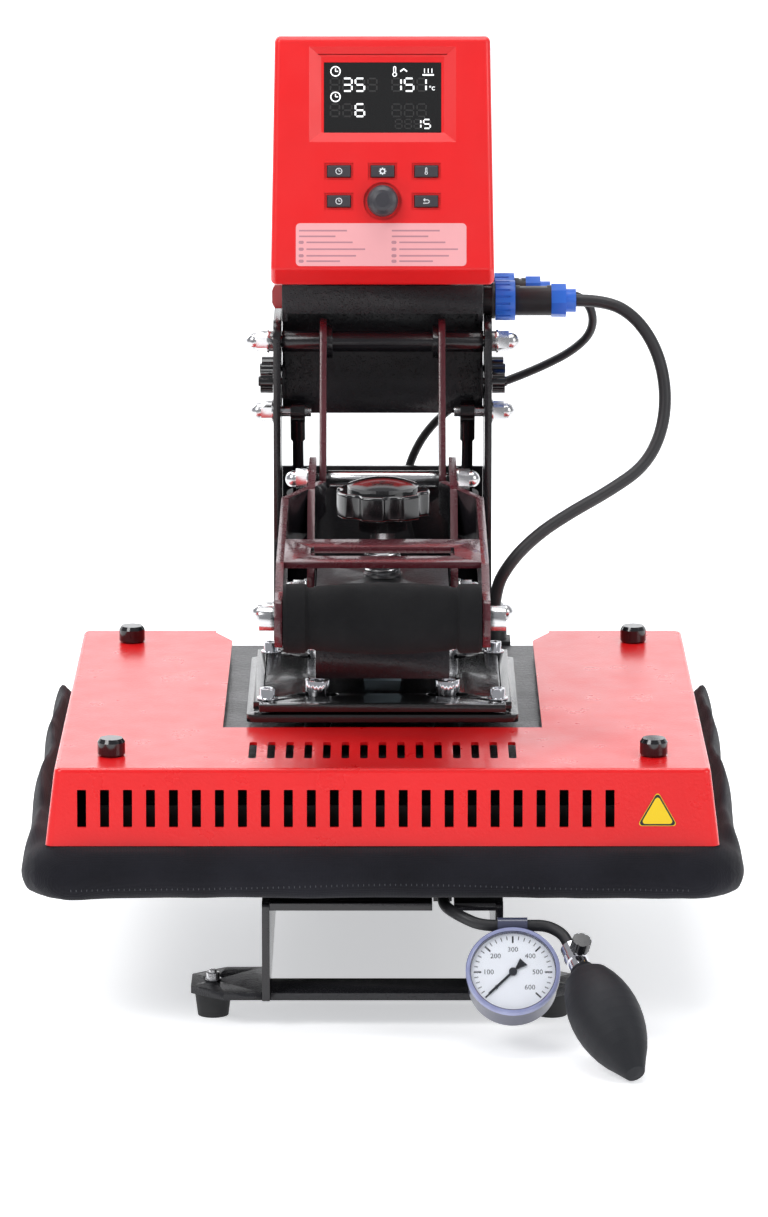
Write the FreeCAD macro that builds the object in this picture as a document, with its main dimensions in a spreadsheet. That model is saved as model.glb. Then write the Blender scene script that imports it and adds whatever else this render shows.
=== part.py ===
import FreeCAD, Part
import Sketcher
import math
import os
import re
from types import SimpleNamespace
from FreeCAD import Placement, Rotation, Vector

# A clamshell heat press with an inflatable lower pad.  Millimetres, +Z up, the floor at Z = 0,
# the operator stands on the -Y side and X = 0 is the plane of symmetry.

doc = FreeCAD.newDocument("heat_press")

DIMENSIONS = {
    # frame
    "frame_width": 155.0, "plate_thickness": 5.0, "foot_height": 18.0, "bar_thickness": 5.0,
    "foot_top_radius": 12.25, "foot_bottom_radius": 10.0, "foot_spacing_x": 220.0,
    "frame_front": -281.0, "frame_back": 300.0, "base_top": 84.0, "post_top": 380.5,
    "post_front": 206.0, "post_back": 290.0, "panel_thickness": 4.0, "panel_top": 261.0,
    # lower plate and pad
    "press_centre_y": -66.0, "lower_plate_side": 396.0, "lower_plate_thickness": 4.0,
    "pad_side": 468.0, "pad_thickness": 32.5, "pad_edge_round": 15.0, "pad_corner_round": 30.0,
    "pad_rim_inner": 217.5, "pad_rim_top": 146.0,
    # pivots
    "arm_pivot_y": 239.0, "arm_pivot_z": 164.0, "link_pivot_y": 219.0, "link_pivot_z": 365.0,
    "lever_pivot_y": 29.0, "lever_pivot_z": 224.0, "joint_pivot_y": 164.0, "joint_pivot_z": 276.0,
    "strut_top_y": 234.0, "strut_top_z": 312.0, "strut_foot_y": 281.0, "strut_foot_z": 156.0,
    "strut_x": 60.5, "pin_radius": 4.0, "shaft_radius": 6.0, "running_gap": 0.06,
    # fasteners
    "nut_across_flats": 13.0, "nut_height": 15.0, "nut_dome_radius": 6.0, "washer_radius": 8.3,
    "washer_thickness": 1.6,
    # power housing and control head
    "housing_half_width": 71.5, "housing_front": 243.0, "brow_front": 226.0, "brow_bottom": 383.5, "housing_back": 288.0,
    "housing_bottom": 309.0, "housing_top": 404.0, "sheet_thickness": 2.0,
    "head_half_bottom": 78.5, "head_half_top": 75.5, "head_bottom": 412.0, "head_top": 583.0,
    "head_back": 262.0, "head_wall": 2.5, "head_seam_y": 224.0, "head_round": 4.0,
    "face_foot_y": 170.0, "face_foot_z": 424.0, "face_top_y": 205.0,
    "screen_width": 82.0, "screen_height": 49.0, "screen_up": 121.0, "screen_depth": 3.5,
    "button_width": 16.2, "button_height": 8.0, "button_proud": 1.0, "button_pitch": 30.6,
    "button_row_high": 69.0, "button_row_low": 48.0, "button_gap": 0.4,
    "encoder_radius": 10.8, "encoder_height": 12.0,
    "clamp_front_y": 226.0, "clamp_back_y": 280.0, "clamp_z": 335.0, "clamp_radius": 8.5,
    # connectors
    "connector_z": 391.0, "connector_front_y": 240.0, "connector_back_y": 274.0,
    "barrel_radius": 9.9, "ring_radius": 14.3, "ring_length": 14.0, "plug_radius": 10.8,
    "plug_length": 25.5, "rear_plug_length": 8.0, "gland_nut_length": 17.5, "cable_radius": 4.4, "thin_cable_radius": 3.1,
    # arm and link
    "arm_half_width": 44.0, "arm_wall": 4.0, "pivot_tube_radius": 14.0, "link_tube_radius": 7.5,
    "link_inner_x": 39.5, "ear_inner_x": 46.5, "ear_tip_radius": 15.0, "slot_radius": 6.25,
    "slot_drop": 11.5,
    # lever
    "lever_inner_x": 64.0, "lever_top": 289.5, "grip_y": -251.0, "grip_z": 264.5,
    "grip_length": 127.0, "grip_radius": 22.2, "cross_plate_thickness": 4.0,
    # upper platen
    "cover_top_side": 420.0, "cover_bottom_side": 432.0, "cover_bottom": 122.0, "cover_top": 171.5,
    "cover_sheet": 2.0, "heater_side": 380.0, "heater_thickness": 20.0, "insulation_side": 376.0,
    "insulation_thickness": 15.5, "backing_side": 396.0, "backing_thickness": 5.0,
    "lower_mount_side": 179.0, "upper_mount_width": 170.4, "upper_mount_depth": 180.0,
    "mount_thickness": 5.0, "lower_mount_z": 174.0, "upper_mount_z": 181.0, "thrust_block_height": 22.0,
    "cap_radius": 9.0, "cap_height": 11.5,
    # spindle and star knob
    "spindle_radius": 8.0, "knob_radius": 31.5, "knob_bottom": 286.0, "knob_hub_radius": 16.0,
    # gas struts
    "rod_radius": 4.0, "tube_radius": 8.5, "strut_eye_gap": 2.0,
    # pressure gauge and bulb
    "hose_radius": 3.75, "gauge_radius": 30.0, "gauge_depth": 25.0, "gauge_tilt": 39.0,
    "valve_length": 20.0, "bulb_length": 94.0, "bulb_radius": 22.5,
}

sheet = doc.addObject("Spreadsheet::Sheet", "Sizes")
for row, (alias, value) in enumerate(DIMENSIONS.items(), start=1):
    sheet.set(f"A{row}", alias)
    sheet.set(f"B{row}", str(value))
    sheet.setAlias(f"B{row}", alias)
doc.recompute()
D = SimpleNamespace(**{alias: float(sheet.get(alias)) for alias in DIMENSIONS})

X, Y, Z = Vector(1, 0, 0), Vector(0, 1, 0), Vector(0, 0, 1)
NODES = []
SIDES = (-1, 1)


# ---------------------------------------------------------------- helpers

def bind(obj, prop, formula):
    """Set a property from a formula in the spreadsheet's aliases."""
    names = lambda match: "Sizes." + match.group() if match.group() in DIMENSIONS else match.group()
    obj.setExpression(prop, re.sub(r"[a-z_]+", names, str(formula)))


def cylinder(radius, length, base, axis=Z):
    obj = doc.addObject("Part::Cylinder", "cylinder")
    bind(obj, "Radius", radius)
    bind(obj, "Height", length)
    obj.Placement = Placement(base, Rotation(Z, axis))
    return obj


def box(size_x, size_y, size_z, corner, rotation=Rotation()):
    obj = doc.addObject("Part::Box", "box")
    bind(obj, "Length", size_x)
    bind(obj, "Width", size_y)
    bind(obj, "Height", size_z)
    obj.Placement = Placement(corner, rotation)
    return obj


def centred_box(size_x, size_y, size_z, centre, rotation=Rotation()):
    obj = box(size_x, size_y, size_z, Vector(), rotation)
    doc.recompute([obj])
    half = Vector(float(obj.Length) / 2, float(obj.Width) / 2, float(obj.Height) / 2)
    obj.Placement = Placement(centre - rotation.multVec(half), rotation)
    return obj


def cut(base, *tools):
    for tool in tools:
        result = doc.addObject("Part::Cut", "cut")
        result.Base, result.Tool = base, tool
        base = result
    return base


def fuse(*shapes):
    result = doc.addObject("Part::MultiFuse", "fuse")
    result.Shapes = list(shapes)
    return result


def common(*shapes):
    result = doc.addObject("Part::MultiCommon", "common")
    result.Shapes = list(shapes)
    return result


def group(*shapes):
    result = doc.addObject("Part::Compound", "group")
    result.Links = list(shapes)
    return result


def feature(shape):
    obj = doc.addObject("Part::Feature", "feature")
    obj.Shape = shape
    return obj


def node(obj, label):
    obj.Label = label
    NODES.append(obj)
    return obj


def rounded_edges(points, radii):
    """Line and arc curves of a closed outline whose corners are rounded."""
    if not isinstance(radii, (list, tuple)):
        radii = [radii] * len(points)
    points = [Vector(*p) for p in points]
    count = len(points)
    starts, ends, arcs = [], [], []
    for i, corner in enumerate(points):
        before, after = points[i - 1] - corner, points[(i + 1) % count] - corner
        half = before.getAngle(after) / 2
        if radii[i] == 0:
            starts.append(corner)
            ends.append(corner)
            arcs.append(None)
            continue
        reach = radii[i] / math.tan(half)
        first = corner + before.normalize() * reach
        last = corner + after.normalize() * reach
        middle = (first + last) / 2 - corner
        apex = corner + middle.normalize() * (radii[i] / math.sin(half) - radii[i])
        starts.append(first)
        ends.append(last)
        arcs.append(Part.Arc(first, apex, last))
    curves = []
    for i in range(count):
        if arcs[i]:
            curves.append(arcs[i])
        following = starts[(i + 1) % count]
        if (following - ends[i]).Length > 1e-6:
            curves.append(Part.LineSegment(ends[i], following))
    return curves


def outline_face(points, radii=0):
    wire = Part.Wire(Part.__sortEdges__([c.toShape() for c in rounded_edges(points, radii)]))
    return Part.Face(wire)


def plate(plane, outline, radii, thickness, offset, holes=(), slots=()):
    """A flat plate: a sketch on an origin plane, padded.  Holes are (u, v, radius formula)."""
    body = doc.addObject("PartDesign::Body", "plate")
    origin = [f for f in body.Origin.OriginFeatures if f.Role == plane][0]
    sketch = body.newObject("Sketcher::SketchObject", "outline")
    sketch.AttachmentSupport = [(origin, "")]
    sketch.MapMode = "FlatFace"
    sketch.addGeometry(rounded_edges([(u, v, 0) for u, v in outline], radii), False)
    for u, v, radius in holes:
        index = sketch.addGeometry(Part.Circle(Vector(u, v, 0), Z, 1.0), False)
        number = sketch.addConstraint(Sketcher.Constraint("Radius", index, 1.0))
        bind(sketch, f"Constraints[{number}]", radius)
        sketch.addConstraint(Sketcher.Constraint("DistanceX", index, 3, u))
        sketch.addConstraint(Sketcher.Constraint("DistanceY", index, 3, v))
    for points, corner in slots:
        sketch.addGeometry(rounded_edges([(u, v, 0) for u, v in points], corner), False)
    pad = body.newObject("PartDesign::Pad", "pad")
    pad.Profile = sketch
    bind(pad, "Length", thickness)
    body.Placement = Placement(offset, Rotation())
    return body


def plate_x(outline, radii, thickness, start_x, holes=(), slots=()):
    return plate("YZ_Plane", outline, radii, thickness, Vector(start_x, 0, 0), holes, slots)


def plate_z(outline, radii, thickness, start_z, holes=(), slots=()):
    return plate("XY_Plane", outline, radii, thickness, Vector(0, 0, start_z), holes, slots)


def rectangle(centre_u, centre_v, width, height):
    left, right = centre_u - width / 2, centre_u + width / 2
    low, high = centre_v - height / 2, centre_v + height / 2
    return [(left, low), (right, low), (right, high), (left, high)]


def taper_outline(first, first_radius, second, second_radius):
    """Corner points of the outline round two circles, wide enough to hold both."""
    along = (second - first).normalize()
    across = Vector(-along.y, along.x, 0)
    corners = [first - along * first_radius + across * first_radius,
               second + along * second_radius + across * second_radius,
               second + along * second_radius - across * second_radius,
               first - along * first_radius - across * first_radius]
    return [(p.x, p.y) for p in corners]


def cap_nut(centre, outward):
    """A domed nut on a washer, open towards the bolt that it closes."""
    washer = cylinder("washer_radius", "washer_thickness", centre, outward)
    flats = doc.addObject("Part::Prism", "hexagon")
    flats.Polygon = 6
    bind(flats, "Circumradius", "nut_across_flats / 2 / cos(30)")
    bind(flats, "Height", "nut_height / 2")
    flats.Placement = Placement(centre + outward * D.washer_thickness, Rotation(Z, outward))
    stem = cylinder("nut_dome_radius", "nut_height - nut_dome_radius",
                    centre + outward * D.washer_thickness, outward)
    dome = doc.addObject("Part::Sphere", "dome")
    bind(dome, "Radius", "nut_dome_radius")
    reach = D.washer_thickness + D.nut_height - D.nut_dome_radius
    dome.Placement = Placement(centre + outward * reach, Rotation())
    bore = cylinder("pin_radius", "nut_height - 1.5", centre - outward * 1, outward)
    return cut(fuse(washer, flats, stem, dome), bore)


def socket_screw(radius, head_radius, head_height, seat, length, up=Z):
    """A hexagon socket screw whose head stands on seat and whose shank points the other way."""
    head = cylinder(head_radius, head_height, seat, up)
    shank = cylinder(radius, length, seat - up * length, up)
    key = doc.addObject("Part::Prism", "key")
    key.Polygon = 6
    bind(key, "Circumradius", head_radius * 0.55)
    bind(key, "Height", head_height)
    key.Placement = Placement(seat + up * (head_height * 0.45), Rotation(Z, up))
    return cut(fuse(head, shank), key)


def revolved(points, base, axis):
    """A solid turned about an axis from (radius, distance along the axis) points."""
    profile = Part.makePolygon([Vector(r, 0, d) for r, d in points + points[:1]])
    obj = feature(Part.Face(profile).revolve(Vector(), Z, 360))
    obj.Placement = Placement(base, Rotation(Z, axis))
    return obj


def cord(points, radius, label):
    """A round tube along straight runs that are joined by tangent arcs."""
    points = [Vector(*p) for p in points]
    edges, start, tightest = [], points[0], None
    for i in range(1, len(points) - 1):
        before, after = points[i - 1] - points[i], points[i + 1] - points[i]
        half_turn = (math.pi - before.getAngle(after)) / 2
        reach = 0.45 * min(before.Length, after.Length)
        bend = reach / math.tan(half_turn)
        tightest = bend if tightest is None else min(bend, tightest)
        first = points[i] + before.normalize() * reach
        last = points[i] + after.normalize() * reach
        inward = ((first + last) / 2 - points[i]).normalize()
        apex = points[i] + inward * (bend / math.cos(half_turn) - bend)
        edges += [Part.LineSegment(start, first).toShape(), Part.Arc(first, apex, last).toShape()]
        start = last
    edges.append(Part.LineSegment(start, points[-1]).toShape())
    path = Part.Wire(edges)
    section = Part.Wire(Part.makeCircle(radius, points[0], points[1] - points[0]))
    solid = path.makePipeShell([section], True, False)
    expected = math.pi * radius ** 2 * path.Length
    print(f"{label}: length {path.Length:.1f}, tightest radius {tightest:.1f} = "
          f"{tightest / (2 * radius):.1f} diameters, volume ratio {solid.Volume / expected:.4f}")
    return node(feature(solid), label)


arm_pivot = Vector(0, D.arm_pivot_y, D.arm_pivot_z)
link_pivot = Vector(0, D.link_pivot_y, D.link_pivot_z)
lever_pivot = Vector(0, D.lever_pivot_y, D.lever_pivot_z)
joint_pivot = Vector(0, D.joint_pivot_y, D.joint_pivot_z)
strut_top = Vector(0, D.strut_top_y, D.strut_top_z)
strut_foot = Vector(0, D.strut_foot_y, D.strut_foot_z)
press_centre = Vector(0, D.press_centre_y, 0)
plate_outer = D.frame_width / 2
plate_inner = plate_outer - D.plate_thickness


# ---------------------------------------------------------------- frame

def frame_side_plates():
    outline = [(D.frame_front, D.foot_height), (D.frame_back, D.foot_height), (D.frame_back, 75),
               (D.post_back, 130), (D.post_back, D.post_top), (D.post_front, D.post_top),
               (D.post_front, 222), (174, D.base_top), (D.frame_front, D.base_top)]
    holes = [(arm_pivot.y, arm_pivot.z, "shaft_radius + 0.02"),
             (link_pivot.y, link_pivot.z, "pin_radius + 0.02"),
             (strut_top.y, strut_top.z, "pin_radius + 0.02")]
    holes += [(y, D.clamp_z, "2.6") for y in (D.clamp_front_y, D.clamp_back_y)]
    sides = [plate_x(outline, [3, 8, 10, 40, 6, 12, 30, 8, 3], "plate_thickness", start, holes)
             for start in (-plate_outer, plate_inner)]
    node(group(*sides), "frame_side_plates")


def foot_bars():
    """Two cross bars, each a middle strip between the side plates and a wing outside each."""
    solids = []
    for front, back, strip in ((-276, -211, (-276, -240)), (235, 300, (264, 300))):
        for side in SIDES:
            tip = side * 124
            wing = [(side * plate_outer, front), (tip - side * 22, front), (tip, front + 17.5),
                    (tip, back - 17.5), (tip - side * 22, back), (side * plate_outer, back)]
            hole = [(side * D.foot_spacing_x / 2, (front + back) / 2, "2.6")]
            solids.append(plate_z(wing, 0, "bar_thickness", D.foot_height, hole))
        middle = rectangle(0, sum(strip) / 2, 2 * plate_inner, strip[1] - strip[0])
        solids.append(plate_z(middle, 0, "bar_thickness", D.foot_height))
    node(group(*solids), "foot_bars")


def foot_places():
    return [Vector(side * D.foot_spacing_x / 2, y, 0) for side in SIDES for y in (-243.5, 267.5)]


def rubber_feet():
    solids = []
    for place in foot_places():
        cone = doc.addObject("Part::Cone", "foot")
        bind(cone, "Radius1", "foot_bottom_radius")
        bind(cone, "Radius2", "foot_top_radius")
        bind(cone, "Height", "foot_height")
        cone.Placement = Placement(place, Rotation())
        solids.append(cut(cone, cylinder("2.6", "foot_height", place), cylinder("5", "7", place)))
    node(group(*solids), "rubber_feet")


def frame_fasteners():
    """The pivot shafts with their domed nuts, and the bolts that hold the rubber feet."""
    solids = pivot_shafts()
    for side in SIDES:
        for pivot, spacer in ((arm_pivot, 0.0), (link_pivot, 3.0), (strut_top, 0.0)):
            seat = Vector(side * (plate_outer + spacer), pivot.y, pivot.z)
            nut = cap_nut(seat, X * side)
            if spacer:
                ring = cut(cylinder("washer_radius - 1", 3, seat - X * side * spacer, X * side),
                           cylinder("pin_radius", 3, seat - X * side * spacer, X * side))
                nut = fuse(nut, ring)
            solids.append(nut)
    bar_top = D.foot_height + D.bar_thickness
    for place in foot_places():
        solids.append(fuse(cylinder("4.6", "3", place + Z * 4), cylinder("2.5", "24", place + Z * 6),
                           cylinder("5.4", "1", place + Z * bar_top),
                           cylinder("4.3", "4", place + Z * (bar_top + 1))))
    node(group(*solids), "frame_fasteners")


def frame_cross_plates():
    """The bridge under the front of the pad, and the panel between the posts."""
    bridge = rectangle(0, -260.5, 2 * plate_inner, 41)
    notch = cut(plate_z(bridge, 0, "plate_thickness", D.base_top - D.plate_thickness,
                        slots=[(rectangle(0, -262, 18, 6), 2.9)]),
                box(14, 46, 8, Vector(32, -285, D.base_top - 7)))
    height = D.panel_top - D.foot_height - D.bar_thickness
    panel = cut(box("frame_width - 2 * plate_thickness", "panel_thickness", height,
                    Vector(-plate_inner, 292, D.foot_height + D.bar_thickness)),
                cylinder("6", "10", Vector(16, 290, 228), Y))
    node(group(notch, panel), "frame_cross_plates")


def lower_plate():
    base = plate_z(rectangle(0, D.press_centre_y, D.lower_plate_side, D.lower_plate_side), 20,
                   "lower_plate_thickness", D.base_top)
    block = box(12, 14, 10, Vector(33, -238, D.base_top - 10))
    nozzle = cylinder("2.8", "12", Vector(39, -237, 79.5), -Y)
    node(group(base, fuse(block, nozzle)), "lower_plate")


def membrane_pad():
    """The pad, with its cover puffed up along both sides of the platen."""
    low = D.base_top + D.lower_plate_thickness
    side = D.pad_side
    block = Part.makeBox(side, side, D.pad_thickness, Vector(-side / 2, D.press_centre_y - side / 2, low))
    upright = [e for e in block.Edges if abs(e.tangentAt(0).z) > 0.9]
    block = block.makeFillet(D.pad_corner_round, upright)
    rims = [e for e in block.Edges if e.BoundBox.ZLength < 0.01]
    pad = block.makeFillet(D.pad_edge_round, rims)
    inner, outer, top = D.pad_rim_inner, side / 2 - 0.5, D.pad_rim_top
    length = outline_face([(0, -262, 98), (0, -262, 110), (0, -205, 130), (0, -150, top), (0, 118, top),
                           (0, 163, 126), (0, 163, 98)], [0, 5, 40, 40, 40, 10, 0])
    length.translate(Vector(-300, 0, 0))
    length = length.extrude(X * 600)
    for edge in SIDES:
        across = outline_face([(edge * inner, -300, 98), (edge * outer, -300, 98),
                               (edge * outer, -300, top), (edge * inner, -300, top)], [0, 0, 7, 7])
        pad = pad.fuse(across.extrude(Y * 500).common(length))
    node(feature(pad.removeSplitter()), "membrane_pad")


def pivot_shafts():
    reach = plate_outer + 12
    arm_shaft = fuse(cylinder("shaft_radius", "frame_width", arm_pivot - X * plate_outer, X),
                     cylinder("pin_radius - 0.02", 2 * reach, arm_pivot - X * reach, X))
    link_shaft = cylinder("pin_radius - 0.02", 2 * reach, link_pivot - X * reach, X)
    pins = []
    for side in SIDES:
        start = strut_top + X * side * 51
        pins.append(cylinder("pin_radius - 0.02", reach - 51, start, X * side))
    return [arm_shaft, link_shaft, *pins]


# ---------------------------------------------------------------- power housing

def housing_shell():
    width, depth = 2 * D.housing_half_width, D.housing_back - D.housing_front
    height = D.housing_top - D.housing_bottom
    corner = Vector(-D.housing_half_width, D.housing_front, D.housing_bottom)
    wall = D.sheet_thickness
    outer = box("2 * housing_half_width", "housing_back - housing_front",
                "housing_top - housing_bottom", corner)
    inner = box(width - 2 * wall, depth, height - 2 * wall, corner + Vector(wall, wall, wall))
    neck = box(100, 34, "head_bottom - housing_top", Vector(-50, 246, D.housing_top))
    half = D.housing_half_width
    brow = box("2 * housing_half_width", "housing_back - brow_front", "housing_top - brow_bottom",
               Vector(-half, D.brow_front, D.brow_bottom))
    brow_room = box(width - 2 * wall, 40, D.housing_top - D.brow_bottom - 2 * wall,
                    Vector(wall - half, D.brow_front + wall, D.brow_bottom + wall))
    rails, ears, bores = [], [], []
    for side in SIDES:
        rails.append(box(4, 22, 8, Vector(67.5 if side > 0 else -half, D.brow_front, 378)))
        ears.append(box(wall, 27, 22, Vector(half - wall if side > 0 else -half, 218, 324)))
        bores += [cylinder("2.6", 10, Vector(side * 64, y, D.clamp_z), X * side)
                  for y in (D.clamp_front_y, D.clamp_back_y)]
    bores += [cylinder("barrel_radius", 10, Vector(64, y, D.connector_z), X)
              for y in (D.connector_front_y, D.connector_back_y)]
    window = box(6, 14, 19.6, Vector(-half - 2, 246, 383.2))
    room = cut(fuse(cut(fuse(outer, brow), inner, brow_room), neck, *rails, *ears), window, *bores)
    node(room, "housing_shell")


def housing_back_cover():
    corner = Vector(-D.housing_half_width, D.housing_back, D.housing_bottom)
    cover = box("2 * housing_half_width", "sheet_thickness", "housing_top - housing_bottom", corner)
    inlet = box(27, 8, 20, Vector(-48.5, D.housing_back - 2, 340))
    node(cut(cover, inlet), "housing_back_cover")


def mains_inlet():
    body = box(26.4, 22, 19.4, Vector(-48.2, D.housing_back - 15, 340.3))
    flange = box(36, 3, 27, Vector(-53, D.housing_back + D.sheet_thickness, 336.5))
    mouth = box(21, 16, 13, Vector(-45.5, D.housing_back - 7, 343.5))
    pins = [box(2, 12, 5, Vector(x, D.housing_back - 8, z)) for x, z in ((-43, 346), (-36, 348), (-29, 346))]
    node(fuse(cut(fuse(body, flange), mouth), *pins), "mains_inlet")


def circuit_boards():
    """The power board with its transformer and relays, and the board behind the screen."""
    power = fuse(box(120, 1.6, 78, Vector(-52, 256, 318)), box(40, 14, 34, Vector(-44, 257, 324)),
                 box(24, 15, 22, Vector(10, 257, 326)), box(24, 15, 22, Vector(38, 257, 326)),
                 cylinder("7", "22", Vector(8, 257, 372), Y))
    control = fuse(face_box(128, 136, 1.6, 0, 76, -11.6), face_box(84, 50, 4, 0, D.screen_up, -10.1),
                   face_box(14, 22, 6, 40, 22, -17.0))
    node(group(power, control), "circuit_boards")


def rocker_switch():
    seat = Vector(-D.housing_half_width, 253, 392.5)
    rocker = cylinder("14", "11.6", seat + Vector(6, -5.8, 0), Y)
    node(common(rocker, box(8, 11.6, 17, seat + Vector(-7.4, -5.8, -8.5))), "rocker_switch")


def connector(name, y, plug_length):
    """A round plug connector along X: socket and barrel, coupling ring, plug body and gland nut."""
    base = Vector(plate_outer, y, D.connector_z)
    socket = fuse(cylinder("barrel_radius + 3.1", "2.5", base, X),
                  cylinder("barrel_radius", "22", base - X * 8, X))
    ring = cylinder("ring_radius", "ring_length", base + X * 2.8, X)
    for turn in range(18):
        angle = turn * math.tau / 18
        place = base + Vector(2.8, math.cos(angle) * D.ring_radius, math.sin(angle) * D.ring_radius)
        ring = cut(ring, cylinder("0.7", "ring_length - 4", place, X))
    ring = cut(ring, cylinder("barrel_radius + running_gap", "ring_length", base + X * 2.8, X))
    body_start = base + X * 17.1
    body = cut(cylinder("plug_radius", plug_length, body_start, X),
               centred_box(plug_length - 6, 30, 8, body_start + Vector(plug_length / 2, 0, 13.6)))
    nut = doc.addObject("Part::Prism", "gland_nut")
    nut.Polygon = 8
    bind(nut, "Circumradius", "plug_radius + 1.2")
    bind(nut, "Height", "gland_nut_length * 0.6")
    nut.Placement = Placement(body_start + X * plug_length, Rotation(Z, X))
    collar = cylinder("plug_radius - 2.5", "gland_nut_length * 0.4",
                      body_start + X * (plug_length + 0.6 * D.gland_nut_length), X)
    node(ring, "connector_ring_" + name)
    return socket, fuse(body, nut, collar)


# ---------------------------------------------------------------- control head

face_up = Vector(0, D.face_top_y - D.face_foot_y, D.head_top - D.face_foot_z).normalize()
face_out = X.cross(face_up)
face_turn = Rotation(X, face_up, face_out)
face_foot = Vector(0, D.face_foot_y, D.face_foot_z)


def on_face(across, up, out=0.0):
    return face_foot + X * across + face_up * up + face_out * out


def face_box(width, height, depth, across, up, out):
    return centred_box(width, height, depth, on_face(across, up, out), face_turn)


def face_cylinder(radius, length, across, up, out):
    return cylinder(radius, length, on_face(across, up, out), face_out)


def head_block(inset, rounding=0.0):
    """The head's outer form, or the same form drawn in by an inset."""
    profile = [(0, D.face_foot_y + 8, D.head_bottom), (0, D.head_back, D.head_bottom),
               (0, D.head_back, 548), (0, D.face_top_y + 10, D.head_top),
               (0, D.face_top_y, D.head_top), (0, D.face_foot_y, D.face_foot_z)]
    face = outline_face(profile)
    if inset:
        face = face.makeOffset2D(-inset)
    half = D.head_half_bottom - inset
    slab = face.copy()
    slab.translate(Vector(-half, 0, 0))
    slab = slab.extrude(X * (2 * half))
    lean = [(-half, 0, D.head_bottom), (half, 0, D.head_bottom),
            (D.head_half_top - inset, 0, D.head_top), (inset - D.head_half_top, 0, D.head_top)]
    shape = slab.common(outline_face(lean).extrude(Y * 400))
    return shape.makeFillet(rounding, shape.Edges) if rounding else shape


def button_places():
    for name, across, up in (("timer", -1, "high"), ("menu", 0, "high"), ("heat", 1, "high"),
                             ("pre", -1, "low"), ("back", 1, "low")):
        yield name, across * D.button_pitch, getattr(D, "button_row_" + up)


def head_shells():
    shell = feature(head_block(0, D.head_round).cut(head_block(D.head_wall)))
    front_half = box(200, 100, 200, Vector(-100, D.head_seam_y - 100, 400))
    back_half = box(200, 100, 200, Vector(-100, D.head_seam_y, 400))
    backing = common(face_box(126, 138, 3.0, 0, 82, -3.4), feature(head_block(0.5)))
    recess_low = on_face(0, D.screen_up + 2, -D.screen_depth)
    recess = doc.addObject("Part::Wedge", "recess")
    for prop, value in (("Xmin", -43), ("Xmax", 43), ("Zmin", -26.5), ("Zmax", 26.5), ("Ymin", 0),
                        ("Ymax", D.screen_depth + 0.01), ("X2min", -51.5), ("X2max", 51.5),
                        ("Z2min", -33.5), ("Z2max", 33.5)):
        setattr(recess, prop, value)
    recess.Placement = Placement(recess_low, Rotation(X, face_out, X.cross(face_out)))
    cuts = [recess, face_box("screen_width + 0.4", "screen_height + 0.4", 12, 0, D.screen_up, -4),
            face_cylinder("encoder_radius + 2.6", "4", 0, D.button_row_low, -2.0),
            face_cylinder("4", "12", 0, D.button_row_low, -8)]
    for name, across, up in button_places():
        cuts.append(face_box("button_width + 4.2", "button_height + 4", 3, across, up, 0.3))
        cuts.append(face_box("button_width + 2 * button_gap", "button_height + 2 * button_gap", 14,
                             across, up, -4))
    node(cut(fuse(common(shell, front_half), backing), *cuts), "head_front_shell")
    node(common(feature(shell.Shape.copy()), back_half), "head_rear_shell")


def head_controls():
    node(face_box("screen_width", "screen_height", 2, 0, D.screen_up, -4.6), "screen_window")
    for name, across, up in button_places():
        cap = face_box("button_width", "button_height", 6.0, across, up, D.button_proud - 3.0)
        soft = doc.addObject("Part::Fillet", "soft_button")
        doc.recompute([cap])
        soft.Base = cap
        top = [i + 1 for i, e in enumerate(cap.Shape.Edges)
               if (e.CenterOfMass - face_foot).dot(face_out) > D.button_proud - 0.01]
        soft.Edges = [(i, 0.6, 0.6) for i in top]
        node(soft, "button_" + name)
    knob = revolved([(0, -8.4), (3, -8.4), (3, -1.7), (D.encoder_radius, -1.7),
                     (D.encoder_radius, D.encoder_height - 4), (D.encoder_radius - 1.2, 10),
                     (D.encoder_radius - 3.6, D.encoder_height - 0.6), (5, D.encoder_height), (0, D.encoder_height)],
                    on_face(0, D.button_row_low), face_out)
    node(knob, "encoder_knob")


def clamp_knobs():
    """Four small lobed hand screws that clamp the power housing between the posts."""
    for side, hand in zip(SIDES, ("left", "right")):
        for y, end in ((D.clamp_front_y, "front"), (D.clamp_back_y, "back")):
            seat = Vector(side * (plate_outer + 0.5), y, D.clamp_z)
            grip = cylinder("clamp_radius", "9", seat, X * side)
            for lobe in range(6):
                angle = math.tau * (lobe + 0.5) / 6
                scallop = seat + Vector(0, math.cos(angle), math.sin(angle)) * (D.clamp_radius + 1.9)
                grip = cut(grip, cylinder("2.9", "9", scallop, X * side))
            stud = cylinder("2.5", "9", seat - X * side * 9, X * side)
            node(fuse(grip, stud, cylinder("3.6", "10.4", seat, X * side)), f"clamp_knob_{end}_{hand}")


# ---------------------------------------------------------------- arm

def arm_box():
    profile = [(-146, 201.5), (-146, 216), (-118, 254), (-20, 254), (50, 240), (222, 189), (256, 186),
               (285, 169), (290, 155), (284, 146), (262, 142), (226, 141), (60, 201.5)]
    face = outline_face([(0, y, z) for y, z in profile])
    half, wall = D.arm_half_width, D.arm_wall
    solids = []
    for inset in (0, wall):
        outline = face.makeOffset2D(-inset) if inset else face.copy()
        outline.translate(Vector(inset - half, 0, 0))
        solids.append(feature(outline.extrude(X * 2 * (half - inset))))
    span = 2 * half + 2
    start = -X * (half + 1)
    holes = [cylinder("pivot_tube_radius", span, arm_pivot + start, X),
             cylinder("pin_radius", span, lever_pivot + start, X),
             cylinder("pin_radius", span, strut_foot + start, X),
             cylinder("spindle_radius + running_gap", 12, press_centre + Z * 246),
             box(30, 44, 10, press_centre + Vector(-15, -22, 198))]
    node(cut(solids[0], solids[1], *holes), "arm_box")


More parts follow.
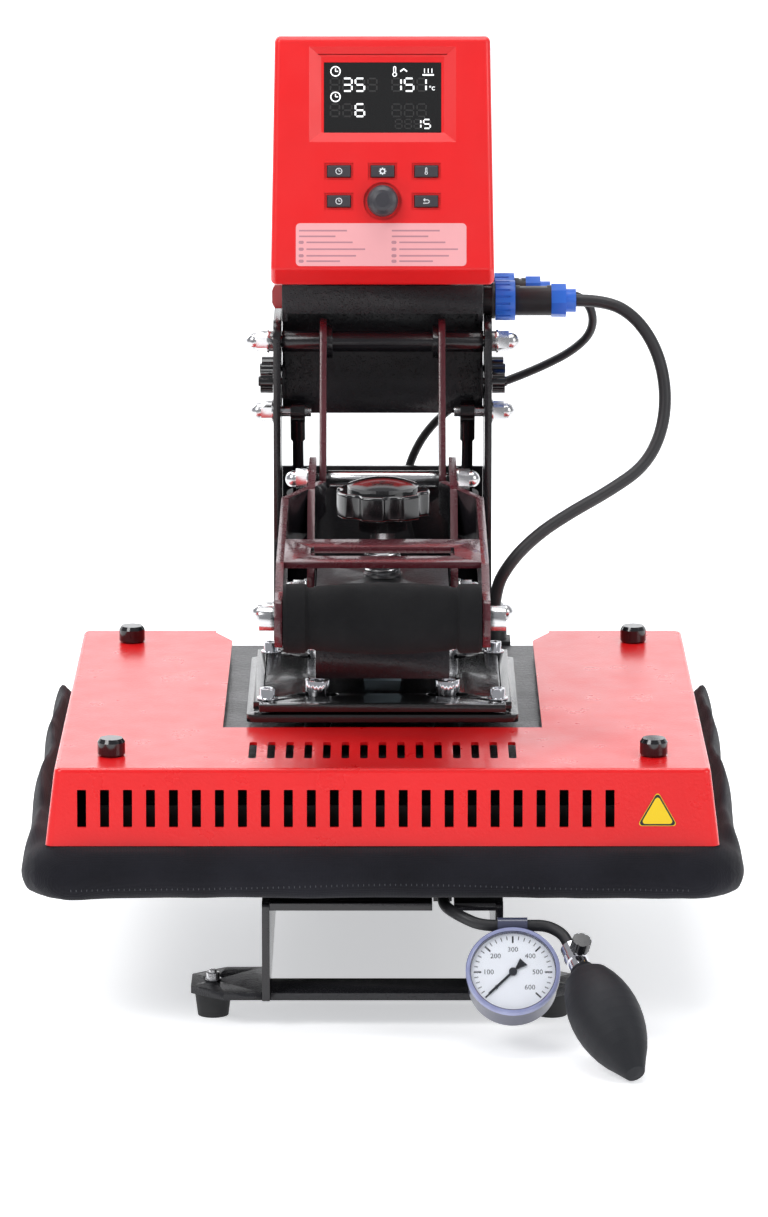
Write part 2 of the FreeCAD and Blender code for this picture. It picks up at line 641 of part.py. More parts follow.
def arm_pivot_tube():
    tube = cylinder("pivot_tube_radius - 0.02", "frame_width - 2 * plate_thickness - 2",
                    arm_pivot - X * (plate_inner - 1), X)
    node(cut(tube, cylinder("shaft_radius + running_gap", "frame_width", arm_pivot - X * plate_outer, X)),
         "arm_pivot_tube")


def arm_bolts():
    ear_outer = D.ear_inner_x + D.plate_thickness
    reach = ear_outer + 12
    solids = [cylinder("pin_radius - 0.02", 2 * reach, lever_pivot - X * reach, X)]
    for side in SIDES:
        solids.append(cap_nut(lever_pivot + X * side * (ear_outer + 0.4), X * side))
    pin_reach = D.strut_x + 8
    solids.append(cylinder("pin_radius - 0.02", 2 * pin_reach, strut_foot - X * pin_reach, X))
    node(group(*solids), "arm_bolts")


def cable_gland():
    """The gland of the heater lead, on an angle bracket at the right of the arm."""
    place = Vector(78, 147, 162)
    bracket = fuse(box(46, 24, 3, place - Vector(34, 12, 0)), box(3, 24, 35, place - Vector(34, 12, 0)))
    body = fuse(cylinder("8", "3.4", place - Z * 0.5), cylinder("9.5", "8", place + Z * 3),
                cylinder("7.5", "6", place + Z * 11))
    bore = cylinder("cable_radius + 0.4", "14", place + Z * 6)
    node(cut(fuse(bracket, body), bore), "cable_gland")


# ---------------------------------------------------------------- lever and link

def lever_plates():
    """Two bent side plates, each with a flat ear for the pivots, and the slotted plate across them."""
    inner, thick = D.lever_inner_x, D.plate_thickness
    side_view = [(-268, 257), (-261, 247), (24, 250), (86, 268), (86, D.lever_top),
                 (-196, D.lever_top), (-236, 278), (-261, 278), (-268, 268)]
    ear_view = [(13, 212), (34, 206), (160, 246), (179, 258), (179, 291), (100, 291), (56, D.lever_top),
                (13, 238)]
    solids = []
    for side in SIDES:
        plan = [(side * x, y) for x, y in ((inner, -275), (inner + thick, -275), (inner + thick, 26),
                                           (inner - 20, 87), (inner - 25, 84), (inner, 24))]
        bent = plate_z(plan, 0, "60", 240)
        start = min(side * inner, side * (inner - 26)) - 6
        silhouette = plate_x(side_view, [6, 6, 0, 0, 0, 20, 20, 6, 6], "40", start)
        bolt = cylinder("5.05", 20, Vector(side * (inner - 5), D.grip_y, D.grip_z), X * side)
        ear_x = D.ear_inner_x if side > 0 else -D.ear_inner_x - thick
        pin_slot = rectangle(joint_pivot.y - 1.5, joint_pivot.z - D.slot_drop / 2,
                             2 * D.slot_radius, 2 * D.slot_radius + D.slot_drop)
        ear = plate_x(ear_view, [10, 10, 6, 12, 12, 0, 0, 10], "plate_thickness", ear_x,
                      [(lever_pivot.y, lever_pivot.z, "pin_radius + running_gap")],
                      [(pin_slot, D.slot_radius - 0.01)])
        solids.append(fuse(cut(common(bent, silhouette), bolt), ear))
    outline = rectangle(0, -156, 2 * D.lever_inner_x, 76)
    slot = rectangle(0, -159, 94, 29)
    solids.append(plate_z(outline, 0, "cross_plate_thickness", D.lever_top - D.cross_plate_thickness,
                          slots=[(slot, 3)]))
    node(group(*solids), "lever_plates")


def grip():
    place = Vector(0, D.grip_y, D.grip_z)
    inner = D.lever_inner_x
    rod = cut(cylinder("7", 2 * inner, place - X * inner, X),
              cylinder("5", 2 * inner, place - X * inner, X))
    screws = [socket_screw(4.9, 8, 10, place + X * side * (inner + D.plate_thickness), 28, X * side)
              for side in SIDES]
    node(group(rod, *screws), "grip_rod")
    half, radius = D.grip_length / 2, D.grip_radius
    profile = [(7.05, -half), (radius - 1, -half), (radius, -half + 2), (radius, 14 - half),
               (radius - 2.4, 16 - half), (radius - 2.4, 18 - half), (radius - 1.4, 22 - half),
               (radius + 0.2, -22), (radius + 0.9, 0)]
    mirrored_half = [(r, -d) for r, d in reversed(profile[:-1])]
    node(revolved(profile + mirrored_half, place, X), "foam_grip")


def link_yoke():
    half = D.housing_half_width
    first, second = Vector(link_pivot.y, link_pivot.z, 0), Vector(joint_pivot.y, joint_pivot.z, 0)
    parts = [cylinder("link_tube_radius", 2 * half, link_pivot - X * half, X)]
    for side in SIDES:
        start = D.link_inner_x if side > 0 else -D.link_inner_x - D.plate_thickness
        parts.append(plate_x(taper_outline(first, 16, second, 12.5), [15.5, 12, 12, 15.5],
                             "plate_thickness", start,
                             [(joint_pivot.y, joint_pivot.z, "pin_radius")]))
        parts.append(cylinder("12", "4", link_pivot + X * side * (D.link_inner_x - 4), X * side))
    bore = cylinder("pin_radius + running_gap", 2 * half + 2, link_pivot - X * (half + 1), X)
    node(cut(fuse(*parts), bore), "link_yoke")


def link_joint_bolt():
    ear_outer = D.ear_inner_x + D.plate_thickness
    reach = ear_outer + 12
    shaft = cylinder("pin_radius - 0.02", 2 * reach, joint_pivot - X * reach, X)
    sleeve = cut(cylinder("6", "2 * link_inner_x", joint_pivot - X * D.link_inner_x, X),
                 cylinder("pin_radius", "2 * link_inner_x", joint_pivot - X * D.link_inner_x, X))
    nuts = [cap_nut(joint_pivot + X * side * (ear_outer + 0.4), X * side) for side in SIDES]
    node(group(shaft, sleeve, *nuts), "link_joint_bolt")


# ---------------------------------------------------------------- upper platen

SCREW_PLACES = [(x, y) for x in (-43, 43) for y in (-58, 58)]
CORNER_PLACES = [(x, y) for x in (-76, 76) for y in (-72, 72)]


def mount_plates():
    centre = D.press_centre_y
    wide, deep = D.upper_mount_width / 2, D.upper_mount_depth / 2
    outline = []
    for side_x, side_y in ((-1, -1), (1, -1), (1, 1), (-1, 1)):
        corner = [(side_x * wide, centre + side_y * (deep - 9)),
                  (side_x * (wide - 4), centre + side_y * (deep - 9)),
                  (side_x * (wide - 4), centre + side_y * deep)]
        outline += corner if side_x * side_y > 0 else corner[::-1]
    slots = [(rectangle(x, centre + y, 27, 11), 5.4) for x, y in SCREW_PLACES]
    corner_holes = [(x, centre + y, "3.1") for x, y in CORNER_PLACES]
    upper = plate_z(outline, 0, "mount_thickness", D.upper_mount_z, corner_holes, slots)
    top = D.upper_mount_z + D.mount_thickness
    node(upper, "upper_mount_plate")
    block = box(25, 36, "thrust_block_height", press_centre + Vector(-12.5, -18, top))
    socket = cylinder("spindle_radius + running_gap", 20, press_centre + Z * (top + 10))
    node(cut(block, socket), "thrust_block")
    side = D.lower_mount_side
    holes = [(x, centre + y, "5.1") for x, y in SCREW_PLACES] + corner_holes
    node(plate_z(rectangle(0, centre, side, side), 5, "mount_thickness", D.lower_mount_z, holes),
         "lower_mount_plate")


def mount_screws():
    top = D.upper_mount_z + D.mount_thickness
    screws = []
    for x, y in SCREW_PLACES:
        seat = press_centre + Vector(x, y, top)
        screws.append(socket_screw(5, 8, 10, seat, 22))
    for x, y in CORNER_PLACES:
        seat = press_centre + Vector(x, y, top)
        screws.append(fuse(socket_screw(3, 5, 6, seat + Z * 1.2, 12),
                           cut(cylinder("7", "1.2", seat), cylinder("3", "1.2", seat))))
    node(group(*screws), "mount_screws")


def heater_stack():
    low = D.cover_bottom + 0.5
    centre = D.press_centre_y
    side = D.heater_side
    node(plate_z(rectangle(0, centre, side, side), 8, "heater_thickness", low), "heating_plate")
    side = D.insulation_side
    low += D.heater_thickness
    node(plate_z(rectangle(0, centre, side, side), 8, "insulation_thickness", low),
         "insulation_blanket")
    side = D.backing_side
    low += D.insulation_thickness
    backing = plate_z(rectangle(0, centre, side, side), 6, "backing_thickness", low)
    top = low + D.backing_thickness
    spacers = []
    for x, y in SCREW_PLACES:
        place = press_centre + Vector(x, y, top)
        spacers.append(cut(cylinder("9", D.lower_mount_z - top, place), cylinder("5.05", 11, place)))
    studs = [cylinder("5", D.cover_top - D.cover_sheet - top, place + Z * top)
             for place in cap_places()]
    node(fuse(backing, *spacers, *studs), "heater_backing_plate")


def cap_places():
    return [press_centre + Vector(side_x * 175, side_y * 172, 0) for side_x in SIDES for side_y in SIDES]


def tapered_block(inset, low, high):
    """The cover's flared form between two heights, drawn in by an inset."""
    def half_side(z):
        share = (z - D.cover_bottom) / (D.cover_top - D.cover_bottom)
        return (D.cover_bottom_side * (1 - share) + D.cover_top_side * share) / 2 - inset
    wires = []
    for z in (low, high):
        half = half_side(z)
        outline = [(u, v, z) for u, v in rectangle(0, D.press_centre_y, 2 * half, 2 * half)]
        wires.append(Part.Wire(Part.__sortEdges__([c.toShape() for c in rounded_edges(outline, 5 - inset)])))
    return Part.makeLoft(wires, True, True)


def platen_cover():
    sheet_t = D.cover_sheet
    outer = tapered_block(0, D.cover_bottom, D.cover_top)
    rim = [e for e in outer.Edges if e.BoundBox.ZMin > D.cover_top - 0.01]
    outer = outer.makeFillet(3, rim)
    inner = tapered_block(sheet_t, D.cover_bottom - 1, D.cover_top - sheet_t)
    front, back = D.press_centre_y - D.cover_top_side / 2, D.press_centre_y + D.cover_top_side / 2
    well = [(-105, front + 117), (105, front + 117), (105, front + 385), (117, front + 412),
            (117, back + 20), (-117, back + 20), (-117, front + 412), (-105, front + 385)]
    tools = [outline_face([(u, v, 140) for u, v in well]).extrude(Z * 50)]
    first_slot, slot_pitch, slot_count = -192.5, 14.7, 24
    for number in range(slot_count):
        slot = outline_face([(first_slot + slot_pitch * number + u, front - 12, 146 + v)
                             for u, v in rectangle(0, 0, 5.8, 24)], 0.6)
        tools.append(slot.extrude(Y * 20))
    vent_pitch, vent_count = 12.0, 15
    for number in range(vent_count):
        across = (number - (vent_count - 1) / 2) * vent_pitch
        vent = outline_face([(across + u, front + 52 + v, D.cover_top - 8)
                             for u, v in rectangle(0, 0, 5.0, 46)], 2.4)
        tools.append(vent.extrude(Z * 12))
    node(feature(outer.cut(inner).cut(tools)), "platen_cover")
    caps = []
    for place in cap_places():
        caps.append(revolved([(0, 0), (D.cap_radius - 1, 0), (D.cap_radius, 1.5), (D.cap_radius, 9),
                              (D.cap_radius - 1.6, D.cap_height), (0, D.cap_height)],
                             place + Z * D.cover_top, Z))
    node(group(*caps), "cover_caps")


# ---------------------------------------------------------------- pressure knob

def spindle():
    rod_bottom = D.upper_mount_z + D.mount_thickness + 10.3
    rod = cylinder("spindle_radius", D.knob_bottom - rod_bottom, press_centre + Z * rod_bottom)
    rings = [cylinder(radius, thick, press_centre + Z * z)
             for radius, z, thick in ((13, 254.6, 1.6), (9.7, 257.2, 3), (9.7, 261.4, 3), (9.7, 265.6, 3),
                                      (12, 269.6, 2))]
    node(fuse(rod, *rings), "spindle")


def pressure_knob():
    """A seven-lobed star knob with a domed top on a round hub."""
    lobes, low, high = 7, D.knob_bottom + 10, D.knob_bottom + 27
    disc = Part.makeCylinder(D.knob_radius, high - low, press_centre + Z * low)
    scallops = []
    for lobe in range(lobes):
        angle = math.tau * (lobe + 0.5) / lobes
        centre = press_centre + Vector(math.cos(angle), math.sin(angle), 0) * (D.knob_radius + 4.2)
        scallops.append(Part.makeCylinder(8.2, high - low + 2, centre + Z * (low - 1)))
    star = disc.cut(scallops)
    seams = [e for e in star.Edges if e.BoundBox.ZLength > 1 and math.hypot(
        e.CenterOfMass.x, e.CenterOfMass.y - D.press_centre_y) > D.knob_radius - 0.5]
    star = star.makeFillet(2.5, [e for e in seams if len(e.Vertexes) == 2 and e.BoundBox.XLength < 0.01])
    star = star.makeFillet(2, [e for e in star.Edges if e.BoundBox.ZLength < 0.01])
    dome_radius = 60.0
    dome = Part.makeSphere(dome_radius, press_centre + Z * (high + 8 - dome_radius))
    cap = Part.makeCylinder(23.5, 12, press_centre + Z * (high - 1)).common(dome)
    hub = Part.makeCylinder(D.knob_hub_radius, low - D.knob_bottom + 1, press_centre + Z * D.knob_bottom)
    node(feature(star.fuse([cap, hub]).removeSplitter()), "pressure_knob")


# ---------------------------------------------------------------- gas struts

def gas_struts():
    down = (strut_foot - strut_top).normalize()
    length = (strut_foot - strut_top).Length
    rods, tubes = [], []
    for side in SIDES:
        top = strut_top + X * side * D.strut_x
        foot = strut_foot + X * side * D.strut_x
        eye = cylinder("8", "10", top - X * 5, X)
        sleeve = cylinder("5.4", "18", top + down * 4, down)
        rod = cylinder("rod_radius", "116", top + down * 8, down)
        rods.append(cut(fuse(eye, sleeve, rod), cylinder("pin_radius + running_gap", "12", top - X * 6, X)))
        barrel = cut(cylinder("tube_radius", length - 76, top + down * 66, down),
                     cylinder("rod_radius + 0.1", 82, top + down * 65, down))
        foot_eye = cylinder("9", "10", foot - X * 5, X)
        shank = cylinder("5", "20", foot - down * 22, down)
        tubes.append(cut(fuse(barrel, foot_eye, shank),
                         cylinder("pin_radius + strut_eye_gap", "20", foot - X * 10, X)))
    node(group(*rods), "strut_rods")
    node(group(*tubes), "strut_tubes")


# ---------------------------------------------------------------- cables, hoses, gauge and bulb

gauge_centre = Vector(83, -330, 53)
gauge_out = Vector(0, -math.cos(math.radians(D.gauge_tilt)), math.sin(math.radians(D.gauge_tilt)))
gauge_up = gauge_out.cross(X)
tee_centre = gauge_centre + gauge_up * 35 - gauge_out * 9
bulb_way = Vector(0.345, -0.80, -0.516).normalize()
tee_half = 9.5
hose_run = 12.5
hose_bend_first = tee_centre + X * (tee_half + hose_run)
hose_bend_second = hose_bend_first + (X + bulb_way).normalize() * hose_run
valve_start = hose_bend_second + bulb_way * hose_run
bulb_start = valve_start + bulb_way * D.valve_length


def gauge():
    turn = Rotation(X, gauge_up, gauge_out)
    case = revolved([(0, -D.gauge_depth), (D.gauge_radius - 3, -D.gauge_depth),
                     (D.gauge_radius - 1.5, 2 - D.gauge_depth), (D.gauge_radius - 1.5, -7),
                     (D.gauge_radius, -6), (D.gauge_radius, -1), (D.gauge_radius - 1, 0),
                     (D.gauge_radius - 3, 0), (D.gauge_radius - 3, -3.4), (0, -3.4)],
                    gauge_centre, gauge_out)
    stem = cylinder("4", "10", tee_centre - gauge_up * 10, gauge_up)
    tee = cylinder("5.2", 2 * tee_half, tee_centre - X * tee_half, X)
    node(fuse(case, stem, tee), "gauge_body")
    pointer = fuse(cylinder("2.6", "1.6", gauge_centre - gauge_out * 3.1, gauge_out),
                   centred_box(1.5, 31, 0.7, gauge_centre - gauge_out * 2.3 + gauge_spoke() * 6,
                               Rotation(gauge_spoke().cross(gauge_out), gauge_spoke(), gauge_out)))
    node(pointer, "gauge_needle")
    return turn


def gauge_spoke():
    """The needle's direction at zero, down and to the left on the dial."""
    return (X * -1 - gauge_up).normalize()


def valve_and_bulb():
    body = fuse(cylinder("6.5", "valve_length", valve_start, bulb_way),
                cylinder("7.4", "5", valve_start + bulb_way * 8, bulb_way))
    knob_way = (Z - bulb_way * Z.dot(bulb_way)).normalize()
    boss_base = valve_start + bulb_way * 10.5
    boss = cylinder("3.4", "9", boss_base, knob_way)
    node(fuse(body, boss), "valve_body")
    screw = cylinder("6.2", "8", boss_base + knob_way * 9.3, knob_way)
    for notch in range(8):
        angle = notch * 45
        rib = Rotation(knob_way, angle).multVec(bulb_way) * 6.4
        screw = cut(screw, cylinder("0.8", "8", boss_base + knob_way * 9.3 + rib, knob_way))
    node(screw, "valve_knob")
    half = D.bulb_length / 2
    profile = [(0, 0), (7.5, 0), (8.5, 3)]
    for step in range(1, 12):
        along = step / 12
        swell = math.sin(math.pi * (0.10 + 0.86 * along ** 0.95)) ** 0.62
        profile.append((D.bulb_radius * swell, 3 + along * (D.bulb_length - 7)))
    profile += [(6.5, D.bulb_length - 1.2), (0, D.bulb_length)]
    bulb = revolved(profile, bulb_start, bulb_way)
    print(f"bulb lowest point {bulb.Shape.BoundBox.ZMin:.2f}")
    node(bulb, "squeeze_bulb")


def cords():
    front_end = Vector(plate_outer + 17.1 + D.plug_length + D.gland_nut_length, D.connector_front_y,
                       D.connector_z)
    heater_route = [front_end, (160, 240, 391), (181, 237, 379), (196, 231, 356), (202, 224, 328),
                    (199, 216, 300), (186, 205, 277), (160, 190, 262), (134, 177, 250), (110, 163, 237),
                    (90, 149, 220), (78, 147, 198), (78, 147, 168.5)]
    cord(heater_route, D.cable_radius, "heater_cable")
    rear_end = Vector(plate_outer + 17.1 + D.rear_plug_length + D.gland_nut_length, D.connector_back_y,
                      D.connector_z)
    sensor_route = [rear_end, (139, 274, 391), (151, 276, 379), (151, 282, 361), (137, 290, 346),
                    (117, 298, 334), (94, 305, 323), (71, 310, 314), (49, 314, 300), (31, 315, 282),
                    (20, 314, 261), (16, 308, 242), (16, 296, 228)]
    cord(sensor_route, D.thin_cable_radius, "sensor_cable")
    hose_route = [(39, -249, 79.5), (39.3, -266, 79.7), (43, -283, 80.2), (51, -295, 78.5),
                  tee_centre - X * (tee_half + 10.5), tee_centre - X * tee_half]
    cord(hose_route, D.hose_radius, "hose_to_gauge")
    bulb_hose = [tee_centre + X * tee_half, hose_bend_first, hose_bend_second, valve_start]
    cord(bulb_hose, D.hose_radius, "hose_to_bulb")


# ---------------------------------------------------------------- build

frame_side_plates()
foot_bars()
rubber_feet()
frame_fasteners()
frame_cross_plates()
lower_plate()
membrane_pad()
housing_shell()
housing_back_cover()
mains_inlet()
circuit_boards()
rocker_switch()
front_parts = connector("front", D.connector_front_y, D.plug_length)
rear_parts = connector("rear", D.connector_back_y, D.rear_plug_length)
node(group(front_parts[0], rear_parts[0]), "connector_sockets")
node(group(front_parts[1], rear_parts[1]), "connector_plugs")
head_shells()
head_controls()
clamp_knobs()
arm_box()
arm_pivot_tube()
arm_bolts()
cable_gland()
lever_plates()
grip()
link_yoke()
link_joint_bolt()
mount_plates()
mount_screws()
heater_stack()
platen_cover()
spindle()
pressure_knob()
gas_struts()
gauge()
valve_and_bulb()
cords()

doc.recompute()
for obj in doc.Objects:
    if {"Invalid", "Error"} & set(obj.State):
        raise RuntimeError(f"{obj.Name} ({obj.Label}) failed: {obj.State}")
os.makedirs("parts", exist_ok=True)
for obj in NODES:
    shape = obj.Shape
    if shape.isNull() or not shape.isValid() or not shape.Solids:
        raise RuntimeError(f"{obj.Label} has no valid solid")
    shape.exportStep(f"parts/{obj.Label}.step")
print(f"{len(NODES)} nodes, {sum(len(n.Shape.Solids) for n in NODES)} solids")
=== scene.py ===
import math

import bmesh
import bpy
from mathutils import Matrix, Vector
from mathutils.bvhtree import BVHTree


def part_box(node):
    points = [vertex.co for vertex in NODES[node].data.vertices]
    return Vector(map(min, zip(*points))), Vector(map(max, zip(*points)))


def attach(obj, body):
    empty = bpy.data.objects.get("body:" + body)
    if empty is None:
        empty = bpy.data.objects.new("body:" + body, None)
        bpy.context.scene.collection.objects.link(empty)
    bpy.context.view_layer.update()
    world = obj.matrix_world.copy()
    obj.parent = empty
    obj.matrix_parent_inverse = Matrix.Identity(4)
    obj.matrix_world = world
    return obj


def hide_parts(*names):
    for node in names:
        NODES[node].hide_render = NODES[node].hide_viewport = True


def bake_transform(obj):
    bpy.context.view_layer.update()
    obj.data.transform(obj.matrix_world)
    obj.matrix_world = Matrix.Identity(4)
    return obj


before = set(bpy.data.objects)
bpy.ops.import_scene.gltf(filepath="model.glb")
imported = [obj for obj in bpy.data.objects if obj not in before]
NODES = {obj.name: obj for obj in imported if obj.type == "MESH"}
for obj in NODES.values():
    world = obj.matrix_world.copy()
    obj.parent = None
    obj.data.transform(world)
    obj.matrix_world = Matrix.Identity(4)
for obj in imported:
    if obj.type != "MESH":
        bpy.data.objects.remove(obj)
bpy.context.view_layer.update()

# A heat press in a plain studio.  Metres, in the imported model's frame: +Z up, -Y to the operator.

SCENE = bpy.context.scene
MM = 0.001


def mm(*values):
    return Vector([value * MM for value in values])


# ---------------------------------------------------------------- camera, studio

def make_studio():
    camera = bpy.data.objects.new("camera", bpy.data.cameras.new("camera"))
    camera.location = mm(1, -4196, 1109.5)
    camera.rotation_euler = (math.radians(78), 0, 0)
    camera.data.lens = 186.4
    camera.data.sensor_width = 36
    SCENE.collection.objects.link(camera)
    SCENE.camera = camera
    SCENE.view_settings.view_transform = "Standard"

    world = bpy.data.worlds.new("studio")
    world.use_nodes = True
    background = world.node_tree.nodes["Background"]
    background.inputs["Color"].default_value = (0.93, 0.95, 1.0, 1)
    background.inputs["Strength"].default_value = 0.34
    SCENE.world = world

    floor_mesh = bpy.data.meshes.new("floor")
    shape = bmesh.new()
    reach, rise, wall = 6.0, 4.0, 3.2
    steps = 12
    rows = [(-reach, 0.0)] + [(wall - 1 + math.sin(turn), 1 - math.cos(turn))
                              for turn in (i * math.pi / 2 / steps for i in range(steps + 1))]
    rows.append((wall, rise))
    lines = [[shape.verts.new((side * reach, y, z)) for side in (-1, 1)] for y, z in rows]
    for near, far in zip(lines, lines[1:]):
        shape.faces.new((near[0], near[1], far[1], far[0]))
    shape.to_mesh(floor_mesh)
    shape.free()
    floor_mesh.shade_smooth()
    floor = bpy.data.objects.new("studio_floor", floor_mesh)
    SCENE.collection.objects.link(floor)
    paint = bpy.data.materials.new("studio_floor")
    paint.use_nodes = True
    coat = paint.node_tree.nodes["Principled BSDF"].inputs
    coat["Base Color"].default_value = (0.90, 0.90, 0.90, 1)
    coat["Roughness"].default_value = 0.6
    coat["Emission Color"].default_value = (0.97, 0.98, 1.0, 1)
    coat["Emission Strength"].default_value = 0.55
    floor_mesh.materials.append(paint)

    for name, place, size, power in (
            ("key", (-1.7, -1.6, 2.3), (1.3, 1.3), 36), ("fill", (2.1, -1.5, 1.5), (1.4, 1.6), 20),
            ("top", (0.0, 0.2, 2.4), (1.8, 1.4), 30), ("rim", (-1.6, 1.8, 1.6), (0.8, 1.6), 18)):
        data = bpy.data.lights.new(name, "AREA")
        data.shape, data.size, data.size_y, data.energy = "RECTANGLE", size[0], size[1], power
        lamp = bpy.data.objects.new(name, data)
        lamp.location = place
        lamp.rotation_euler = (Vector((0, -0.05, 0.25)) - Vector(place)).to_track_quat("-Z", "Y").to_euler()
        SCENE.collection.objects.link(lamp)


make_studio()


# ---------------------------------------------------------------- cords

HEATER_ROUTE = [(137.6, 240, 391), (160, 240, 391), (181, 237, 379), (196, 231, 356), (202, 224, 328),
                (199, 216, 300), (186, 205, 277), (160, 190, 262), (134, 177, 250), (110, 163, 237),
                (90, 149, 220), (78, 147, 198), (78, 147, 168.5)]
SENSOR_ROUTE = [(120.1, 274, 391), (139, 274, 391), (151, 276, 379), (151, 282, 361), (137, 290, 346),
                (117, 298, 334), (94, 305, 323), (71, 310, 314), (49, 314, 300), (31, 315, 282),
                (20, 314, 261), (16, 308, 242), (16, 296, 228)]


def tee_end():
    """The left end of the gauge's tee, from the gauge's centre and tilt."""
    tilt = math.radians(39)
    out, up = Vector((0, -math.cos(tilt), math.sin(tilt))), Vector((0, math.sin(tilt), math.cos(tilt)))
    return mm(83, -330, 53) + up * 0.035 - out * 0.009 - Vector((0.0095, 0, 0))


HOSE_ROUTE = [(39, -249, 79.5), (39.3, -266, 79.7), (43, -283, 80.2), (51, -295, 78.5),
              tuple(tee_end() / MM - Vector((10.5, 0, 0))), tuple(tee_end() / MM)]


def nurbs(name, route, radius):
    curve = bpy.data.curves.new(name, "CURVE")
    curve.dimensions = "3D"
    spline = curve.splines.new("NURBS")
    spline.points.add(len(route) - 1)
    for point, place in zip(spline.points, route):
        point.co = (*mm(*place), 1)
    spline.order_u = 3
    spline.use_endpoint_u = True
    spline.resolution_u = 10
    curve.bevel_depth = radius
    curve.bevel_resolution = 6
    curve.use_fill_caps = True
    piece = bpy.data.objects.new(name, curve)
    SCENE.collection.objects.link(piece)
    return piece


def spline_line(name, route):
    """Points along the route's spline, as the bare curve gives them."""
    bare = nurbs(name + "_line", route, 0)
    mesh = bpy.data.meshes.new_from_object(bare)
    points = [v.co.copy() for v in mesh.vertices]
    bpy.data.objects.remove(bare)
    return points


def link_mesh(name, shape, smooth=True):
    mesh = bpy.data.meshes.new(name)
    bmesh.ops.recalc_face_normals(shape, faces=shape.faces)
    shape.to_mesh(mesh)
    shape.free()
    if smooth:
        mesh.shade_smooth()
        mesh.set_sharp_from_angle(angle=math.radians(35))
    piece = bpy.data.objects.new(name, mesh)
    SCENE.collection.objects.link(piece)
    return piece


def tube(name, points, radius, sides=20):
    """A closed round tube along points, without twist."""
    shape = bmesh.new()
    rings = []
    across = None
    for i, point in enumerate(points):
        ahead = (points[min(i + 1, len(points) - 1)] - points[max(i - 1, 0)]).normalized()
        across = across or ahead.orthogonal().normalized()
        across = (across - ahead * across.dot(ahead)).normalized()
        third = ahead.cross(across)
        rings.append([shape.verts.new(point + (across * math.cos(a) + third * math.sin(a)) * radius)
                      for a in (side * math.tau / sides for side in range(sides))])
    for first, second in zip(rings, rings[1:]):
        for i in range(sides):
            j = (i + 1) % sides
            shape.faces.new((first[i], first[j], second[j], second[i]))
    shape.faces.new(rings[0])
    shape.faces.new(rings[-1])
    return link_mesh(name, shape)


heater_line = spline_line("heater_cable", HEATER_ROUTE)
heater_cable = tube("heater_lead", heater_line, 4.4 * MM)
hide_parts("heater_cable")
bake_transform(heater_cable)

sensor_cable = nurbs("sensor_lead", SENSOR_ROUTE, 3.1 * MM)
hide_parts("sensor_cable")
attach(sensor_cable, "frame")

air_hose = nurbs("air_hose", HOSE_ROUTE, 3.75 * MM)
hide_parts("hose_to_gauge")
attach(air_hose, "frame")


# ---------------------------------------------------------------- materials

MATERIALS = {}


class Shader:
    """Short names for building one node material."""

    def __init__(self, name):
        self.material = bpy.data.materials.new(name)
        self.material.use_nodes = True
        self.tree = self.material.node_tree
        self.main = self.tree.nodes["Principled BSDF"]
        self.place = self.node("ShaderNodeTexCoord").outputs["Object"]
        MATERIALS[name] = self.material

    def node(self, kind, **values):
        made = self.tree.nodes.new(kind)
        for key, value in values.items():
            if hasattr(made, key):
                setattr(made, key, value)
            else:
                made.inputs[key.replace("_", " ").title()].default_value = value
        return made

    def link(self, source, target):
        self.tree.links.new(source, target)

    def noise(self, scale, detail=3.0, roughness=0.55):
        made = self.node("ShaderNodeTexNoise", scale=scale, detail=detail, roughness=roughness)
        self.link(self.place, made.inputs["Vector"])
        return made.outputs["Fac"]

    def ramp(self, source, low, high, from_low=0.3, from_high=0.7):
        made = self.node("ShaderNodeMapRange")
        for key, value in (("From Min", from_low), ("From Max", from_high), ("To Min", low),
                           ("To Max", high)):
            made.inputs[key].default_value = value
        self.link(source, made.inputs["Value"])
        return made.outputs["Result"]

    def colours(self, source, dark, light):
        made = self.node("ShaderNodeMix", data_type="RGBA")
        made.inputs[6].default_value = (*dark, 1)
        made.inputs[7].default_value = (*light, 1)
        self.link(source, made.inputs[0])
        self.link(made.outputs[2], self.main.inputs["Base Color"])

    def bump(self, source, distance, strength=1.0):
        made = self.node("ShaderNodeBump")
        made.inputs["Distance"].default_value = distance
        made.inputs["Strength"].default_value = strength
        self.link(source, made.inputs["Height"])
        if self.main.inputs["Normal"].is_linked:
            self.link(self.main.inputs["Normal"].links[0].from_socket, made.inputs["Normal"])
        self.link(made.outputs["Normal"], self.main.inputs["Normal"])

    def set(self, **values):
        for key, value in values.items():
            self.main.inputs[key.replace("_", " ")].default_value = value


def shade(colour, factor):
    return tuple(min(1.0, channel * factor) for channel in colour)


def coated(name, colour, rough, grain, depth, coat=0.0, metal=0.0, vary=0.12, speckle=0.0,
           shine=0.5):
    """Paint, plastic, rubber or metal with a fine grain, uneven gloss and slight soiling."""
    s = Shader(name)
    s.set(Metallic=metal, Coat_Weight=coat, Coat_Roughness=0.12, Specular_IOR_Level=shine)
    s.colours(s.ramp(s.noise(9.0, 6.0), 0, 1), shade(colour, 1 - vary), shade(colour, 1 + vary))
    s.link(s.ramp(s.noise(34.0, 5.0), rough * 0.86, rough * 1.18), s.main.inputs["Roughness"])
    s.bump(s.noise(grain, 2.5), depth)
    if speckle:
        s.bump(s.ramp(s.noise(grain * 2.6, 1.0), 0, 1, 0.58, 0.74), speckle)
    return s


